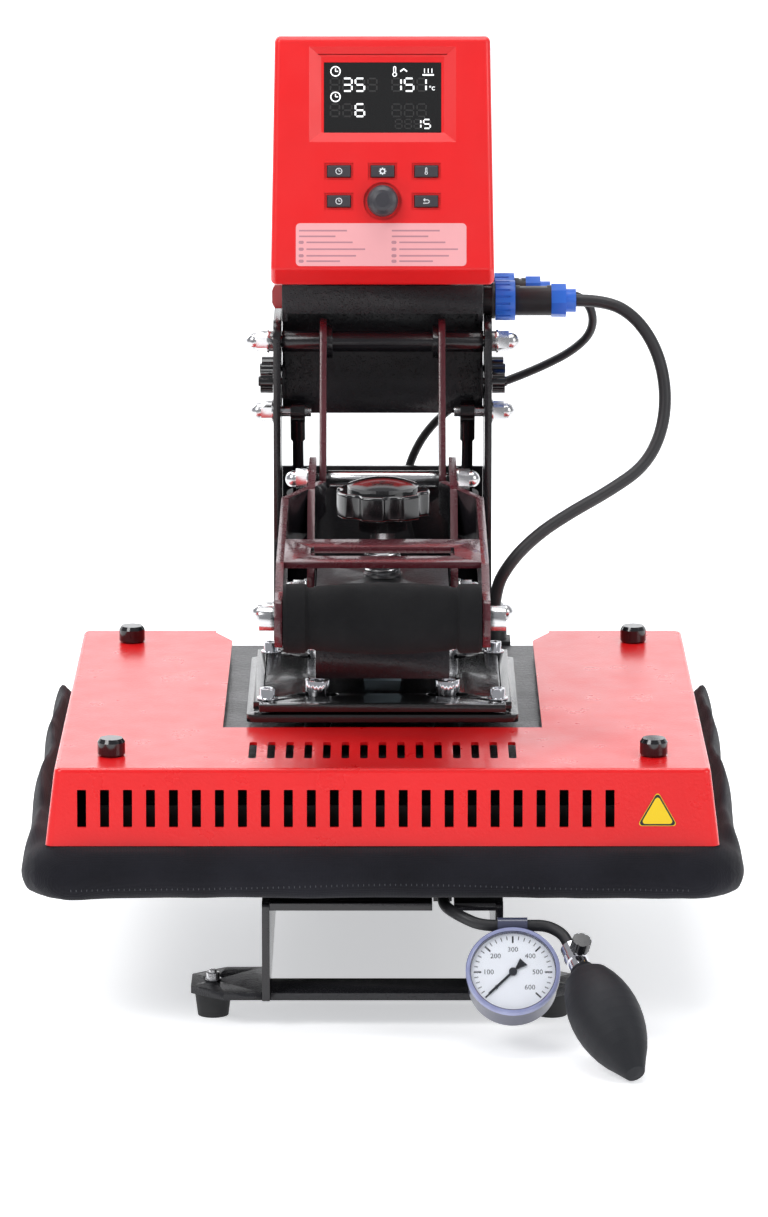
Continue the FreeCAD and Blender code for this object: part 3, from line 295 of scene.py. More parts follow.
coated("red_powder", (0.80, 0.008, 0.010), 0.30, 520, 0.00016, coat=0.35, vary=0.05)
coated("red_moulding", (0.78, 0.012, 0.014), 0.34, 1900, 0.00005, coat=0.15, vary=0.05)
coated("black_texture", (0.012, 0.012, 0.015), 0.33, 330, 0.00042, coat=0.10, speckle=0.00035, shine=0.4)
coated("black_gloss", (0.010, 0.009, 0.011), 0.22, 700, 0.00016, coat=0.30, shine=0.4)
# painted red reflection: a maroon tint used in place of the black gloss paint, laid on faces by which way
# they turn
coated("painted_red_reflection", (0.085, 0.011, 0.018), 0.26, 420, 0.00030, coat=0.45, speckle=0.00025)
coated("black_steel_plate", (0.012, 0.012, 0.013), 0.20, 640, 0.00022, coat=0.5)
coated("zinc", (0.66, 0.66, 0.67), 0.24, 90, 0.00002, metal=1.0, vary=0.08)
coated("bright_steel", (0.46, 0.58, 0.64), 0.30, 60, 0.00003, metal=0.35, vary=0.14)
coated("chrome", (0.80, 0.80, 0.83), 0.10, 50, 0.00001, metal=1.0, vary=0.03)
coated("cast_aluminium", (0.030, 0.029, 0.028), 0.45, 260, 0.00008, metal=0.2, shine=0.3)
coated("mineral_blanket", (0.006, 0.006, 0.006), 0.9, 420, 0.0006, shine=0.05)
coated("black_plastic", (0.020, 0.020, 0.022), 0.42, 1500, 0.00006, shine=0.35)
coated("gloss_plastic", (0.008, 0.008, 0.010), 0.10, 120, 0.00001, coat=0.5)
coated("knob_plastic", (0.008, 0.008, 0.009), 0.12, 60, 0.00003, coat=0.6)
coated("blue_plastic", (0.020, 0.135, 0.62), 0.34, 1200, 0.00004, vary=0.06)
coated("key_plastic", (0.045, 0.042, 0.050), 0.40, 1800, 0.00004, vary=0.05)
coated("dial_knob_plastic", (0.040, 0.040, 0.048), 0.36, 1400, 0.00003, coat=0.1)
coated("switch_red", (0.42, 0.006, 0.008), 0.22, 300, 0.00001, coat=0.4)
coated("cable_rubber", (0.018, 0.018, 0.020), 0.46, 420, 0.00008)
coated("hose_rubber", (0.014, 0.014, 0.016), 0.50, 700, 0.00006)
coated("bulb_rubber", (0.016, 0.017, 0.021), 0.58, 900, 0.00010, vary=0.25, shine=0.3)
coated("foot_rubber", (0.016, 0.016, 0.017), 0.62, 800, 0.00008)
coated("grip_foam", (0.011, 0.011, 0.012), 0.80, 1700, 0.00022, speckle=0.0001, vary=0.2, shine=0.12)
coated("circuit_board", (0.012, 0.11, 0.04), 0.35, 500, 0.00003)
coated("gauge_case", (0.055, 0.060, 0.105), 0.20, 200, 0.00001, coat=0.5)
coated("screen_glass", (0.008, 0.008, 0.008), 0.12, 80, 0.000005, coat=0.4)
coated("dial_white", (0.86, 0.88, 0.92), 0.4, 300, 0.00001, vary=0.02)
coated("print_black", (0.012, 0.014, 0.020), 0.5, 300, 0.00001, vary=0.1)
coated("print_white", (0.82, 0.86, 0.88), 0.45, 300, 0.00001, vary=0.03)
coated("label_yellow", (0.90, 0.62, 0.01), 0.35, 400, 0.00001, vary=0.04)
coated("label_pale", (0.88, 0.42, 0.44), 0.32, 1400, 0.00002, vary=0.05)
coated("label_grey", (0.50, 0.24, 0.28), 0.45, 900, 0.00001, vary=0.05)
coated("segment_off", (0.030, 0.030, 0.030), 0.35, 300, 0.000005)
coated("stitching", (0.050, 0.052, 0.062), 0.7, 2500, 0.00005)


def segment_material():
    s = coated("segment_lit", (0.9, 0.92, 0.92), 0.4, 300, 0.00001, vary=0.02)
    s.set(Emission_Color=(0.95, 0.98, 1.0, 1), Emission_Strength=0.75)


def pad_material():
    """Coated woven cloth: two crossed sets of fine threads, lint and a low sheen."""
    s = Shader("pad_cloth")
    s.set(Sheen_Weight=0.12, Sheen_Roughness=0.45, Roughness=0.86, Specular_IOR_Level=0.15)
    s.colours(s.ramp(s.noise(14.0, 6.0), 0, 1), (0.007, 0.007, 0.010), (0.015, 0.015, 0.021))
    threads = []
    for direction in ("X", "Y"):
        wave = s.node("ShaderNodeTexWave", wave_type="BANDS", bands_direction=direction)
        wave.inputs["Scale"].default_value = 330.0
        wave.inputs["Distortion"].default_value = 0.6
        s.link(s.place, wave.inputs["Vector"])
        threads.append(wave.outputs["Fac"])
    weave = s.node("ShaderNodeMath", operation="MULTIPLY")
    s.link(threads[0], weave.inputs[0])
    s.link(threads[1], weave.inputs[1])
    s.bump(weave.outputs["Value"], 0.00016)
    s.bump(s.noise(60.0, 4.0), 0.0006, 0.5)


def lens_material():
    s = Shader("gauge_lens")
    s.set(Base_Color=(0.93, 0.95, 1.0, 1), Roughness=0.04, IOR=1.3, Transmission_Weight=1.0)
    s.set(Alpha=0.25)
    s.bump(s.noise(30.0, 2.0), 0.00001)


def bezel_material():
    s = Shader("gauge_bezel")
    s.set(Roughness=0.12, Coat_Weight=0.6, Coat_Roughness=0.05)
    s.colours(s.ramp(s.noise(60.0, 3.0), 0, 1), (0.22, 0.24, 0.42), (0.34, 0.37, 0.58))
    s.bump(s.noise(120.0, 2.0), 0.00002)


segment_material()
pad_material()
lens_material()
bezel_material()

FINISHES = {
    "black_gloss": ["frame_side_plates", "frame_cross_plates",
                    "lever_plates", "link_yoke", "strut_tubes", "strut_rods"],
    "black_texture": ["foot_bars", "lower_plate", "housing_shell", "housing_back_cover", "arm_box",
                      "arm_pivot_tube", "heater_backing_plate"],
    "black_steel_plate": ["upper_mount_plate", "lower_mount_plate"],
    "red_powder": ["platen_cover"],
    "red_moulding": ["head_front_shell", "head_rear_shell"],
    "zinc": ["frame_fasteners", "arm_bolts", "grip_rod", "link_joint_bolt", "spindle"],
    "bright_steel": ["thrust_block"],
    "chrome": ["mount_screws", "valve_body"],
    "cast_aluminium": ["heating_plate"],
    "mineral_blanket": ["insulation_blanket"],
    "black_plastic": ["mains_inlet", "connector_sockets", "connector_plugs", "cable_gland"],
    "gloss_plastic": ["cover_caps", "valve_knob"],
    "knob_plastic": ["pressure_knob", "clamp_knob_front_left", "clamp_knob_back_left",
                     "clamp_knob_front_right", "clamp_knob_back_right"],
    "blue_plastic": ["connector_ring_front", "connector_ring_rear"],
    "key_plastic": ["button_timer", "button_menu", "button_heat", "button_pre", "button_back"],
    "dial_knob_plastic": ["encoder_knob"],
    "switch_red": ["rocker_switch"],
    "foot_rubber": ["rubber_feet"],
    "grip_foam": ["foam_grip"],
    "bulb_rubber": ["squeeze_bulb"],
    "hose_rubber": ["hose_to_bulb"],
    "circuit_board": ["circuit_boards"],
    "screen_glass": ["screen_window"],
    "gauge_case": ["gauge_body"],
    "print_black": ["gauge_needle"],
}


def paint(piece, name):
    piece.data.materials.clear()
    piece.data.materials.append(MATERIALS[name])
    return piece


ROUNDED = {"frame_side_plates": 0.5, "frame_cross_plates": 0.4,
           "lever_plates": 0.45, "link_yoke": 0.4, "arm_box": 0.7, "foot_bars": 0.5,
           "upper_mount_plate": 0.5, "lower_mount_plate": 0.5,
           "housing_shell": 0.5, "housing_back_cover": 0.3, "lower_plate": 0.4, "thrust_block": 0.5,
           "cable_gland": 0.4, "frame_fasteners": 0.25, "arm_bolts": 0.25, "link_joint_bolt": 0.25,
           "mount_screws": 0.35, "connector_plugs": 0.3, "connector_sockets": 0.3,
           "connector_ring_front": 0.3, "connector_ring_rear": 0.3, "grip_rod": 0.35}


def finish_cad_nodes():
    for name, nodes in FINISHES.items():
        for node in nodes:
            paint(NODES[node], name)
            NODES[node].data.shade_smooth()
            NODES[node].data.set_sharp_from_angle(angle=math.radians(28))
    for node, width in ROUNDED.items():
        weld = NODES[node].modifiers.new("weld", "WELD")
        weld.merge_threshold = 0.000002
        bevel = NODES[node].modifiers.new("rounded_edges", "BEVEL")
        bevel.width = width * MM
        bevel.segments = 2
        bevel.limit_method = "ANGLE"
        bevel.angle_limit = math.radians(38)
        bevel.harden_normals = True
        bevel.use_clamp_overlap = True


FRONT_NUT_X, REAR_NUT_X, BETWEEN_PLUGS_Y = 120.0 * MM, 102.5 * MM, 257.0 * MM
LINK_PLATE_X = (39 * MM, 45 * MM)


def colour_cable_nuts():
    """The cable nuts at the ends of the two black plugs are blue."""
    plugs = NODES["connector_plugs"]
    plugs.data.materials.append(MATERIALS["blue_plastic"])
    for face in plugs.data.polygons:
        spot = plugs.matrix_world @ face.center
        if spot.x > (FRONT_NUT_X if spot.y < BETWEEN_PLUGS_Y else REAR_NUT_X):
            face.material_index = 1


def paint_red_reflection_on_edges():
    """Paints a red reflection onto the black gloss lever's and link's faces that turn up or to the front, the
    cross plate's top among them.
    """
    for node in ("lever_plates", "link_yoke"):
        piece = NODES[node]
        piece.data.materials.append(MATERIALS["painted_red_reflection"])
        turn = piece.matrix_world.to_3x3()
        for face in piece.data.polygons:
            normal = turn @ face.normal
            spot = abs((piece.matrix_world @ face.center).x)
            tube = node == "link_yoke" and not LINK_PLATE_X[0] < spot < LINK_PLATE_X[1]
            # faces turned up or to the front get the painted red reflection; the link's tube and all other
            # faces keep the black gloss
            if abs(normal.x) < 0.3 and (normal.z > 0.3 or normal.y < -0.5) and not tube:
                face.material_index = 1


finish_cad_nodes()
colour_cable_nuts()
paint_red_reflection_on_edges()
for cable in (heater_cable, sensor_cable):
    paint(cable, "cable_rubber")
paint(air_hose, "hose_rubber")


# ---------------------------------------------------------------- inflatable pad

def rounded_box(low, high, corner, edge):
    """A plate-like block with rounded plan corners and rounded rims, as a bmesh."""
    shape = bmesh.new()
    corner_steps, rim_steps = 8, 5
    levels = []
    for i in range(2 * rim_steps + 2):
        turn = math.pi / 2 * (i / rim_steps if i <= rim_steps else (i - 1) / rim_steps)
        middle = low.z + edge if i <= rim_steps else high.z - edge
        levels.append((edge * (1 - math.sin(turn)), middle - edge * math.cos(turn)))
    rings = []
    for inset, z in levels:
        ring = []
        for quarter in range(4):
            side_x, side_y = ((1, 1), (-1, 1), (-1, -1), (1, -1))[quarter]
            centre_x = (high.x if side_x > 0 else low.x) - side_x * corner
            centre_y = (high.y if side_y > 0 else low.y) - side_y * corner
            for step in range(corner_steps + 1):
                angle = math.pi / 2 * (quarter + step / corner_steps)
                ring.append(shape.verts.new((centre_x + math.cos(angle) * (corner - inset),
                                             centre_y + math.sin(angle) * (corner - inset), z)))
        rings.append(ring)
    count = len(rings[0])
    for first, second in zip(rings, rings[1:]):
        for i in range(count):
            j = (i + 1) % count
            shape.faces.new((first[i], first[j], second[j], second[i]))
    shape.faces.new(rings[0])
    shape.faces.new(rings[-1])
    return shape


PAD_LOW, PAD_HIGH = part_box("lower_plate")[1].z + 0.0002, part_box("heating_plate")[0].z - 0.0008
PAD_SHRINK = 3.5 * MM
PAD_CAP = 9 * MM
PAD_MARGIN = 1.2 * MM


def inflate(pad):
    """Swells the pad by cloth pressure, with no point moved further than PAD_CAP; shape_pad later presses it
    between the plates.
    """
    remesh = pad.modifiers.new("remesh", "REMESH")
    remesh.mode = "VOXEL"
    remesh.voxel_size = 5.5 * MM
    bpy.context.view_layer.objects.active = pad
    pad.select_set(True)
    bpy.ops.object.modifier_apply(modifier="remesh")
    before = [v.co.copy() for v in pad.data.vertices]
    cloth = pad.modifiers.new("cloth", "CLOTH")
    cloth.settings.use_pressure = True
    cloth.settings.uniform_pressure_force = 4
    cloth.settings.effector_weights.gravity = 0
    cloth.settings.quality = 4
    cloth.point_cache.frame_start, cloth.point_cache.frame_end = 1, 20
    for step in range(1, 21):
        SCENE.frame_set(step)
    swollen = pad.evaluated_get(bpy.context.evaluated_depsgraph_get())
    after = [v.co.copy() for v in swollen.data.vertices]
    pad.modifiers.remove(cloth)
    SCENE.frame_set(1)
    for vertex, start, end in zip(pad.data.vertices, before, after):
        move = end - start
        if move.length > PAD_CAP:
            move = move.normalized() * PAD_CAP
        vertex.co = start + move


RIM_INNER, RIM_SLOPE = 217.2 * MM, 5.0 * MM
# the height of the puffed sides from front to back, as (Y, share of the full height)
RIM_STATIONS = [(-0.268, 0.0), (-0.235, 0.35), (-0.196, 0.52), (-0.150, 0.86), (-0.110, 1.0),
                (0.0, 0.94), (0.060, 1.0), (0.115, 0.97), (0.150, 0.60), (0.165, 0.0)]


def side_lift(place, high):
    """How far the cover puffs up beside the platen at a point of the pad's flanks."""
    across = min(1.0, max(0.0, (abs(place.x) - RIM_INNER) / RIM_SLOPE))
    upward = min(1.0, max(0.0, (place.z - PAD_LOW) / (PAD_HIGH - PAD_LOW)))
    crest = 0.0
    for (first, start), (last, end) in zip(RIM_STATIONS, RIM_STATIONS[1:]):
        if first <= place.y <= last:
            share = (place.y - first) / (last - first)
            crest = start + (end - start) * share * share * (3 - 2 * share)
    return (high.z - PAD_HIGH) * crest * across * across * (3 - 2 * across) * upward ** 1.6


def shape_pad(pad, low, high):
    """Presses the pad between the plates and gives its skirt its folds, creases and sag."""
    centre = (low + high) / 2
    half = (high - low) / 2
    wide = max(abs(vertex.co.x - centre.x) for vertex in pad.data.vertices)
    deep = max(abs(vertex.co.y - centre.y) for vertex in pad.data.vertices)
    for vertex in pad.data.vertices:
        place = vertex.co
        place.x = centre.x + (place.x - centre.x) * (half.x - PAD_MARGIN) / wide
        place.y = centre.y + (place.y - centre.y) * (half.y - PAD_MARGIN) / deep
        out_x, out_y = (place.x - centre.x) / half.x, (place.y - centre.y) / half.y
        edge = max(abs(out_x), abs(out_y))
        rim = min(1.0, max(0.0, (edge - 0.90) / 0.10))
        along = place.x if abs(out_y) > abs(out_x) else place.y
        ripple = math.sin(along * 37 + 0.6) + 0.6 * math.sin(along * 83 + 2.1) + 0.35 * math.sin(along * 171)
        place.z += rim * (0.0011 * ripple - 0.0016 * (abs(out_x * out_y) > 0.8))
        side_rim = side_lift(place, high)
        place.x += side_rim * 0.10 * math.sin(place.y * 44 + 1.0) * (1 if place.x > 0 else -1)
        place.z += side_rim
        corner = max(0.0, abs(out_x * out_y) - 0.86) / 0.14
        place.z -= 0.002 * corner * rim
        under_plate = abs(place.x) < 0.2165 and edge < 0.93
        ceiling = PAD_HIGH if under_plate else PAD_HIGH - 0.0025 * rim + side_rim
        place.z = min(max(place.z, PAD_LOW), ceiling)


def stitched_seam(pad, low, high):
    """The stitched hem low on the pad's front, as short raised stitches on its surface."""
    tree = BVHTree.FromObject(pad, bpy.context.evaluated_depsgraph_get())
    shape = bmesh.new()
    pitch, length, radius = 3.4 * MM, 2.1 * MM, 0.34 * MM
    number = int((high.x - low.x - 0.07) / pitch)
    for i in range(number):
        x = low.x + 0.035 + i * pitch
        height = low.z + 0.0085 + 0.0035 * math.exp(-((x - 0.01) / 0.09) ** 2)
        spot, normal, *_ = tree.ray_cast(Vector((x, low.y - 0.05, height)), Vector((0, 1, 0)))
        if not spot:
            continue
        stitch = bmesh.ops.create_icosphere(shape, subdivisions=1, radius=1.0)
        turn = normal.to_track_quat("Z", "X").to_matrix().to_4x4()
        size = Matrix.Diagonal((length / 2, radius, radius, 1))
        bmesh.ops.transform(shape, verts=stitch["verts"],
                            matrix=Matrix.Translation(spot) @ turn @ size)
    return paint(link_mesh("pad_stitching", shape), "stitching")


def make_pad():
    low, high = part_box("membrane_pad")
    shrink = Vector((PAD_SHRINK, PAD_SHRINK, 0.0))
    block = rounded_box(Vector((low.x, low.y, PAD_LOW)) + shrink,
                        Vector((high.x, high.y, PAD_HIGH - 0.001)) - shrink, 0.034, 0.0150)
    pad = link_mesh("pad_cover", block)
    inflate(pad)
    shape_pad(pad, low, high)
    pad.data.shade_smooth()
    smooth = pad.modifiers.new("smooth", "SUBSURF")
    smooth.levels = smooth.render_levels = 1
    bpy.context.view_layer.update()
    paint(pad, "pad_cloth")
    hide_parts("membrane_pad")
    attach(pad, "frame")
    seam = stitched_seam(pad, low, high)
    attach(seam, "frame")


make_pad()


# ---------------------------------------------------------------- control head details

FACE_FOOT, FACE_TOP = mm(0, 170, 424), mm(0, 205, 583)
FACE_UP = (FACE_TOP - FACE_FOOT).normalized()
FACE_OUT = Vector((1, 0, 0)).cross(FACE_UP)
FACE = Matrix((Vector((1, 0, 0)), FACE_UP, FACE_OUT)).transposed().to_4x4()


def face_frame(across, up, out):
    """The place of a point on the head's face, from millimetres across, up and out of it."""
    spot = FACE_FOOT + (Vector((1, 0, 0)) * across + FACE_UP * up + FACE_OUT * out) * MM
    return Matrix.Translation(spot) @ FACE


def rounded_outline(width, height, corner, steps=6):
    points = []
    for quarter, (side_x, side_y) in enumerate(((1, 1), (-1, 1), (-1, -1), (1, -1))):
        for step in range(steps + 1):
            angle = math.pi / 2 * (quarter + step / steps)
            points.append((side_x * (width / 2 - corner) + math.cos(angle) * corner,
                           side_y * (height / 2 - corner) + math.sin(angle) * corner))
    return points


def add_prism(shape, outline, thickness, matrix):
    """A flat solid from an outline in millimetres, placed by a matrix."""
    low = [shape.verts.new(matrix @ (Vector((x, y, 0)) * MM)) for x, y in outline]
    high = [shape.verts.new(matrix @ (Vector((x, y, thickness)) * MM)) for x, y in outline]
    count = len(outline)
    for i in range(count):
        j = (i + 1) % count
        shape.faces.new((low[i], low[j], high[j], high[i]))
    shape.faces.new(low[::-1])
    shape.faces.new(high)


def add_bar(shape, start, end, width, thickness, matrix):
    """A straight flat stroke between two points in millimetres."""
    along = Vector((end[0] - start[0], end[1] - start[1])).normalized()
    side = Vector((-along.y, along.x)) * width / 2
    outline = [(start[0] + side.x, start[1] + side.y), (start[0] - side.x, start[1] - side.y),
               (end[0] - side.x, end[1] - side.y), (end[0] + side.x, end[1] + side.y)]
    add_prism(shape, outline, thickness, matrix)


def add_ring(shape, radius, width, thickness, matrix, start=0.0, sweep=math.tau, steps=28):
    """A flat ring or arc, as a chain of quads with its own sides."""
    count = max(4, int(steps * sweep / math.tau))
    closed = sweep > math.tau - 1e-6
    loops = []
    for i in range(count + (0 if closed else 1)):
        angle = start + sweep * i / count
        loops.append([shape.verts.new(matrix @ (Vector((math.cos(angle) * r, math.sin(angle) * r, z)) * MM))
                      for r, z in ((radius - width / 2, 0), (radius + width / 2, 0),
                                   (radius + width / 2, thickness), (radius - width / 2, thickness))])
    pairs = list(zip(loops, loops[1:] + (loops[:1] if closed else [])))
    for first, second in pairs:
        for i in range(4):
            j = (i + 1) % 4
            shape.faces.new((first[i], first[j], second[j], second[i]))
    if not closed:
        shape.faces.new(loops[0])
        shape.faces.new(loops[-1][::-1])


SEGMENTS = {"top": ((0, 1), (1, 1)), "high_left": ((0, 0.5), (0, 1)), "high_right": ((1, 0.5), (1, 1)),
            "middle": ((0, 0.5), (1, 0.5)), "low_left": ((0, 0), (0, 0.5)),
            "low_right": ((1, 0), (1, 0.5)), "bottom": ((0, 0), (1, 0))}
DIGITS = {"0": "top high_left high_right low_left low_right bottom", "1": "high_right low_right",
          "3": "top high_right middle low_right bottom", "5": "top high_left middle low_right bottom",
          "6": "top high_left middle low_left low_right bottom",
          "8": "top high_left high_right middle low_left low_right bottom", " ": ""}


def add_digits(lit, dark, text, left, base, width, height, pitch, stroke, matrix):
    """Seven-segment figures: the lit strokes in one mesh and the unlit ones in another."""
    for number, character in enumerate(text):
        shown = DIGITS[character].split()
        for name, (first, second) in SEGMENTS.items():
            start = Vector((left + number * pitch + first[0] * width, base + first[1] * height))
            end = Vector((left + number * pitch + second[0] * width, base + second[1] * height))
            gap = (end - start).normalized() * stroke * 0.62
            add_bar(lit if name in shown else dark, start + gap, end - gap, stroke, 0.06, matrix)


def add_clock(shape, centre, radius, stroke, thickness, matrix):
    place = matrix @ Matrix.Translation(Vector((*centre, 0)) * MM)
    add_ring(shape, radius, stroke, thickness, place)
    add_bar(shape, (0, 0), (0, radius * 0.62), stroke * 0.9, thickness, place)
    add_bar(shape, (0, 0), (radius * 0.55, 0), stroke * 0.9, thickness, place)


def add_thermometer(shape, centre, height, stroke, thickness, matrix):
    place = matrix @ Matrix.Translation(Vector((*centre, 0)) * MM)
    bulb = height * 0.20
    add_ring(shape, bulb, stroke, thickness, place @ Matrix.Translation((0, -height * 0.3 * MM, 0)))
    for side in (-1, 1):
        add_bar(shape, (side * bulb * 0.55, -height * 0.14), (side * bulb * 0.55, height * 0.42), stroke,
                thickness, place)
    add_ring(shape, bulb * 0.55, stroke, thickness,
             place @ Matrix.Translation((0, height * 0.42 * MM, 0)), 0, math.pi)


def make_screen():
    """Generic figures and plain pictograms behind the screen's window."""
    lit, dark = bmesh.new(), bmesh.new()
    place = face_frame(0, 121, -4.6 + 1.02)
    upper, middle, lower = 4.6, -13.2, -21.6
    add_digits(lit, dark, " 35 ", -36.5, upper, 6.2, 8.8, 8.75, 1.15, place)
    add_digits(lit, dark, "151", 15.5 - 8.75, upper, 6.2, 8.8, 8.75, 1.15, place)
    add_digits(lit, dark, "  6", -36.5, middle, 6.2, 8.6, 8.75, 1.15, place)
    add_digits(lit, dark, "   ", 6.75, middle, 6.2, 8.6, 8.75, 1.0, place)
    add_digits(lit, dark, "  15", 9.0, lower, 4.6, 6.2, 6.6, 0.9, place)
    add_clock(lit, (-33, 18.4), 3.3, 0.75, 0.06, place)
    add_clock(lit, (-33, 0.5), 3.3, 0.75, 0.06, place)
    add_thermometer(lit, (8.5, 18.2), 6.6, 0.6, 0.06, place)
    add_bar(lit, (28, 15.9), (36, 15.9), 1.1, 0.06, place)
    for column in range(3):
        add_bar(lit, (29.4 + column * 2.6, 17.2), (29.4 + column * 2.6, 20.4), 0.55, 0.06, place)
    for side in (-1, 1):
        add_bar(lit, (14.8, 20.2), (14.8 + side * 2.4, 18.2), 0.9, 0.06, place)
    add_ring(lit, 0.5, 0.3, 0.06, place @ Matrix.Translation(mm(33.4, 7.6, 0)))
    add_ring(lit, 1.1, 0.5, 0.06, place @ Matrix.Translation(mm(35.8, 6.4, 0)), 0.8, 4.7)
    for name, shape, finish in (("screen_figures", lit, "segment_lit"),
                                ("screen_ghosts", dark, "segment_off")):
        piece = paint(link_mesh(name, shape, smooth=False), finish)
        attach(piece, "frame")


def add_gear(shape, centre, radius, thickness, matrix):
    place = matrix @ Matrix.Translation(Vector((*centre, 0)) * MM)
    add_ring(shape, radius * 0.62, radius * 0.34, thickness, place)
    for tooth in range(8):
        angle = tooth * math.tau / 8
        way = Vector((math.cos(angle), math.sin(angle)))
        add_bar(shape, way * radius * 0.72, way * radius * 1.02, radius * 0.34, thickness, place)


def add_return_arrow(shape, thickness, matrix):
    add_bar(shape, (-1.6, 0.9), (0.9, 0.9), 0.5, thickness, matrix)
    add_ring(shape, 1.15, 0.5, thickness, matrix @ Matrix.Translation(mm(0.9, -0.25, 0)),
             -math.pi / 2, math.pi)
    add_bar(shape, (-2.2, -1.4), (0.9, -1.4), 0.5, thickness, matrix)
    for side in (-1, 1):
        add_bar(shape, (-1.9, 0.9), (-0.9, 0.9 + side * 0.95), 0.5, thickness, matrix)


def make_button_marks():
    """Raised plain pictograms on the five keys; each rides with its own key."""
    for key, across, up in (("timer", -30.6, 69), ("menu", 0, 69), ("heat", 30.6, 69),
                            ("pre", -30.6, 48), ("back", 30.6, 48)):
        shape = bmesh.new()
        place = face_frame(across, up, 1.0)
        if key in ("timer", "pre"):
            add_clock(shape, (0, 0), 2.1, 0.5, 0.09, place)
        elif key == "menu":
            add_gear(shape, (0, 0), 2.5, 0.09, place)
        elif key == "heat":
            add_thermometer(shape, (0, 0), 4.4, 0.42, 0.09, place)
        else:
            add_return_arrow(shape, 0.09, place)
        piece = paint(link_mesh("mark_" + key, shape, smooth=False), "print_white")
        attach(piece, "key_" + key)


def make_labels():
    """The pale sticker below the keys, with plain bars in place of words, and the cover's triangle."""
    plain = bmesh.new()
    add_prism(plain, rounded_outline(119.5, 30, 3), 0.12, face_frame(-1, 17.6, 0.02))
    marks = bmesh.new()
    rows = ((9.8, 40), (5.8, 30), (1.6, 45), (-3.2, 56), (-7.8, 48), (-11.6, 34))
    for column in (-56, 9):
        for number, (up, length) in enumerate(rows):
            place = face_frame(-1, 17.6 + up, 0.14)
            lead = 5.2 if number > 1 else 0.0
            if lead:
                add_prism(marks, [(column + x, y) for x, y in rounded_outline(3.6, 2.2, 1.0, 3)], 0.03, place)
            add_bar(marks, (column + lead - 1.5, 0), (column + length * 0.8, 0), 1.1, 0.03, place)
    for name, shape, finish in (("sticker", plain, "label_pale"), ("sticker_bars", marks, "label_grey")):
        piece = paint(link_mesh(name, shape, smooth=False), finish)
        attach(piece, "frame")
    low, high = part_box("platen_cover")
    lean = math.atan2(6, 49.5)
    spot = Vector((high.x - 0.0400, low.y + 0.0021, 0.1425))
    place = Matrix.Translation(spot) @ Matrix.Rotation(math.pi / 2 - lean, 4, "X")
    for name, side, lift, finish in (("triangle_border", 25.0, 0.00, "print_black"),
                                     ("triangle_edge", 26.0, -0.03, "label_yellow"),
                                     ("triangle_field", 21.5, 0.05, "label_yellow")):
        shape = bmesh.new()
        corner = 1.7
        outline = []
        for third in range(3):
            middle = math.pi / 2 + third * math.tau / 3
            reach = side / math.sqrt(3) - 2 * corner
            for step in range(5):
                angle = middle - math.pi / 3 + 2 * math.pi / 3 * step / 4
                outline.append((math.cos(middle) * reach + math.cos(angle) * corner,
                                math.sin(middle) * reach + math.sin(angle) * corner))
        add_prism(shape, outline, 0.1, place @ Matrix.Translation((0, 0, lift * MM)))
        piece = paint(link_mesh(name, shape, smooth=False), finish)
        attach(piece, "platen")


make_screen()
make_button_marks()
make_labels()


# ---------------------------------------------------------------- pressure gauge

GAUGE_TILT = math.radians(39)
GAUGE_OUT = Vector((0, -math.cos(GAUGE_TILT), math.sin(GAUGE_TILT)))
GAUGE_UP = GAUGE_OUT.cross(Vector((1, 0, 0)))
GAUGE = Matrix((Vector((1, 0, 0)), GAUGE_UP, GAUGE_OUT)).transposed().to_4x4()


def gauge_frame(out):
    return Matrix.Translation(mm(83, -330, 53) + GAUGE_OUT * out * MM) @ GAUGE


def disc_outline(radius, steps=64):
    return [(math.cos(i * math.tau / steps) * radius, math.sin(i * math.tau / steps) * radius)
            for i in range(steps)]


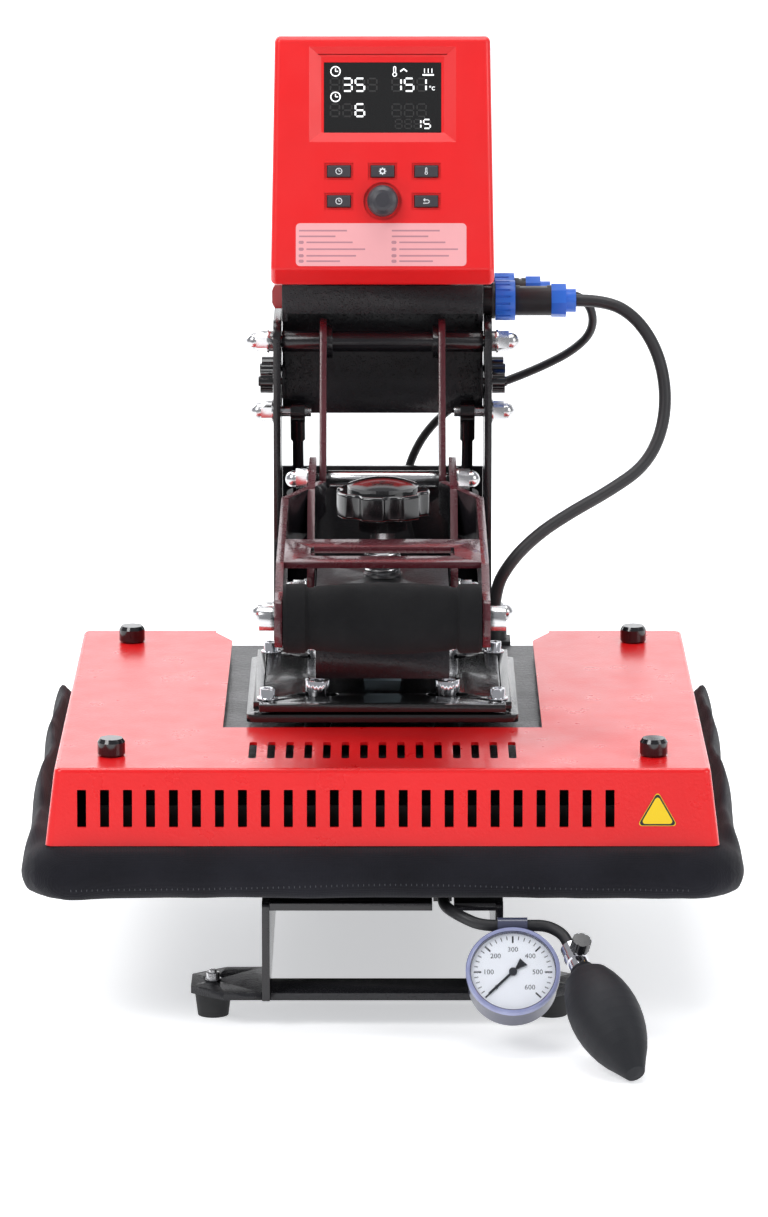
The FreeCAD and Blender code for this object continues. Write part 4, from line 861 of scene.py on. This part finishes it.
def make_gauge():
    parts = []
    dial = bmesh.new()
    add_prism(dial, disc_outline(26.9), 0.25, gauge_frame(-3.38))
    parts.append(paint(link_mesh("gauge_dial", dial, smooth=False), "dial_white"))
    marks = bmesh.new()
    printed = gauge_frame(-3.12)
    start, sweep, divisions = math.radians(225), math.radians(-270), 30
    for number in range(divisions + 1):
        angle = start + sweep * number / divisions
        way = Vector((math.cos(angle), math.sin(angle)))
        long = number % 5 == 0
        add_bar(marks, way * (20.2 if long else 22.4), way * 25.0, 1.1 if long else 0.55, 0.03, printed)
    parts.append(paint(link_mesh("dial_marks", marks, smooth=False), "print_black"))
    for number in range(7):
        angle = start + sweep * number / 6
        text = bpy.data.curves.new(f"dial_number_{number}", "FONT")
        text.body = str(number * 100)
        text.size = 4.6 * MM
        text.align_x, text.align_y = "CENTER", "CENTER"
        text.extrude = 0.00002
        text.resolution_u = 3
        flat = bpy.data.objects.new(text.name + "_text", text)
        SCENE.collection.objects.link(flat)
        bpy.context.view_layer.update()
        mesh = bpy.data.meshes.new_from_object(flat.evaluated_get(bpy.context.evaluated_depsgraph_get()))
        reach = 15.6 if number not in (0, 6) else 15.0
        mesh.transform(gauge_frame(-3.09) @ Matrix.Translation(
            mm(math.cos(angle) * reach, math.sin(angle) * reach, 0)))
        bpy.data.objects.remove(flat)
        piece = bpy.data.objects.new(text.name, mesh)
        SCENE.collection.objects.link(piece)
        parts.append(paint(piece, "print_black"))
    tail = bmesh.new()
    spoke = Vector((-1, -1)).normalized()
    outline = [(-spoke.x * 3 - 0.5, -spoke.y * 3 + 0.5), (-spoke.x * 3 + 0.5, -spoke.y * 3 - 0.5),
               (-spoke.x * 9.6 + 2.3, -spoke.y * 9.6 - 2.3), (-spoke.x * 9.6 - 2.3, -spoke.y * 9.6 + 2.3)]
    add_prism(tail, outline, 0.6, gauge_frame(-2.55))
    tail_piece = paint(link_mesh("needle_tail", tail, smooth=False), "print_black")
    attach(tail_piece, "needle")
    bezel = bmesh.new()
    profile = [(27.15, -3.0), (30.15, -3.0), (30.2, -0.6), (29.6, 0.35), (28.3, 0.55), (27.15, -0.2)]
    steps = 72
    place = gauge_frame(0)
    rings = [[bezel.verts.new(place @ mm(r * math.cos(a), r * math.sin(a), z)) for r, z in profile]
             for a in (i * math.tau / steps for i in range(steps))]
    for i, ring in enumerate(rings):
        following = rings[(i + 1) % steps]
        for j in range(len(profile)):
            k = (j + 1) % len(profile)
            bezel.faces.new((ring[j], ring[k], following[k], following[j]))
    parts.append(paint(link_mesh("gauge_bezel", bezel), "gauge_bezel"))
    lens = bmesh.new()
    add_prism(lens, disc_outline(27.2), 0.5, gauge_frame(-0.7))
    parts.append(paint(link_mesh("gauge_glass", lens, smooth=False), "gauge_lens"))
    for piece in parts:
        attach(piece, "frame")
    return parts + [tail_piece]


gauge_parts = make_gauge()


# ---------------------------------------------------------------- small machine details

def make_spring():
    """The coil spring round the spindle above the arm."""
    low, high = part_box("spindle")
    centre = Vector(((low.x + high.x) / 2, (low.y + high.y) / 2, 0))
    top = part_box("arm_box")[1].z
    turns, steps = 4.0, 24
    line = []
    for i in range(int(turns * steps) + 1):
        angle = math.tau * i / steps
        line.append(centre + Vector((math.cos(angle) * 0.0112, math.sin(angle) * 0.0112,
                                     top + 0.0028 + (0.0140 * i / (turns * steps)))))
    spring = paint(tube("spindle_spring", line, 1.15 * MM, sides=10), "zinc")
    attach(spring, "pressure_spindle")


make_spring()
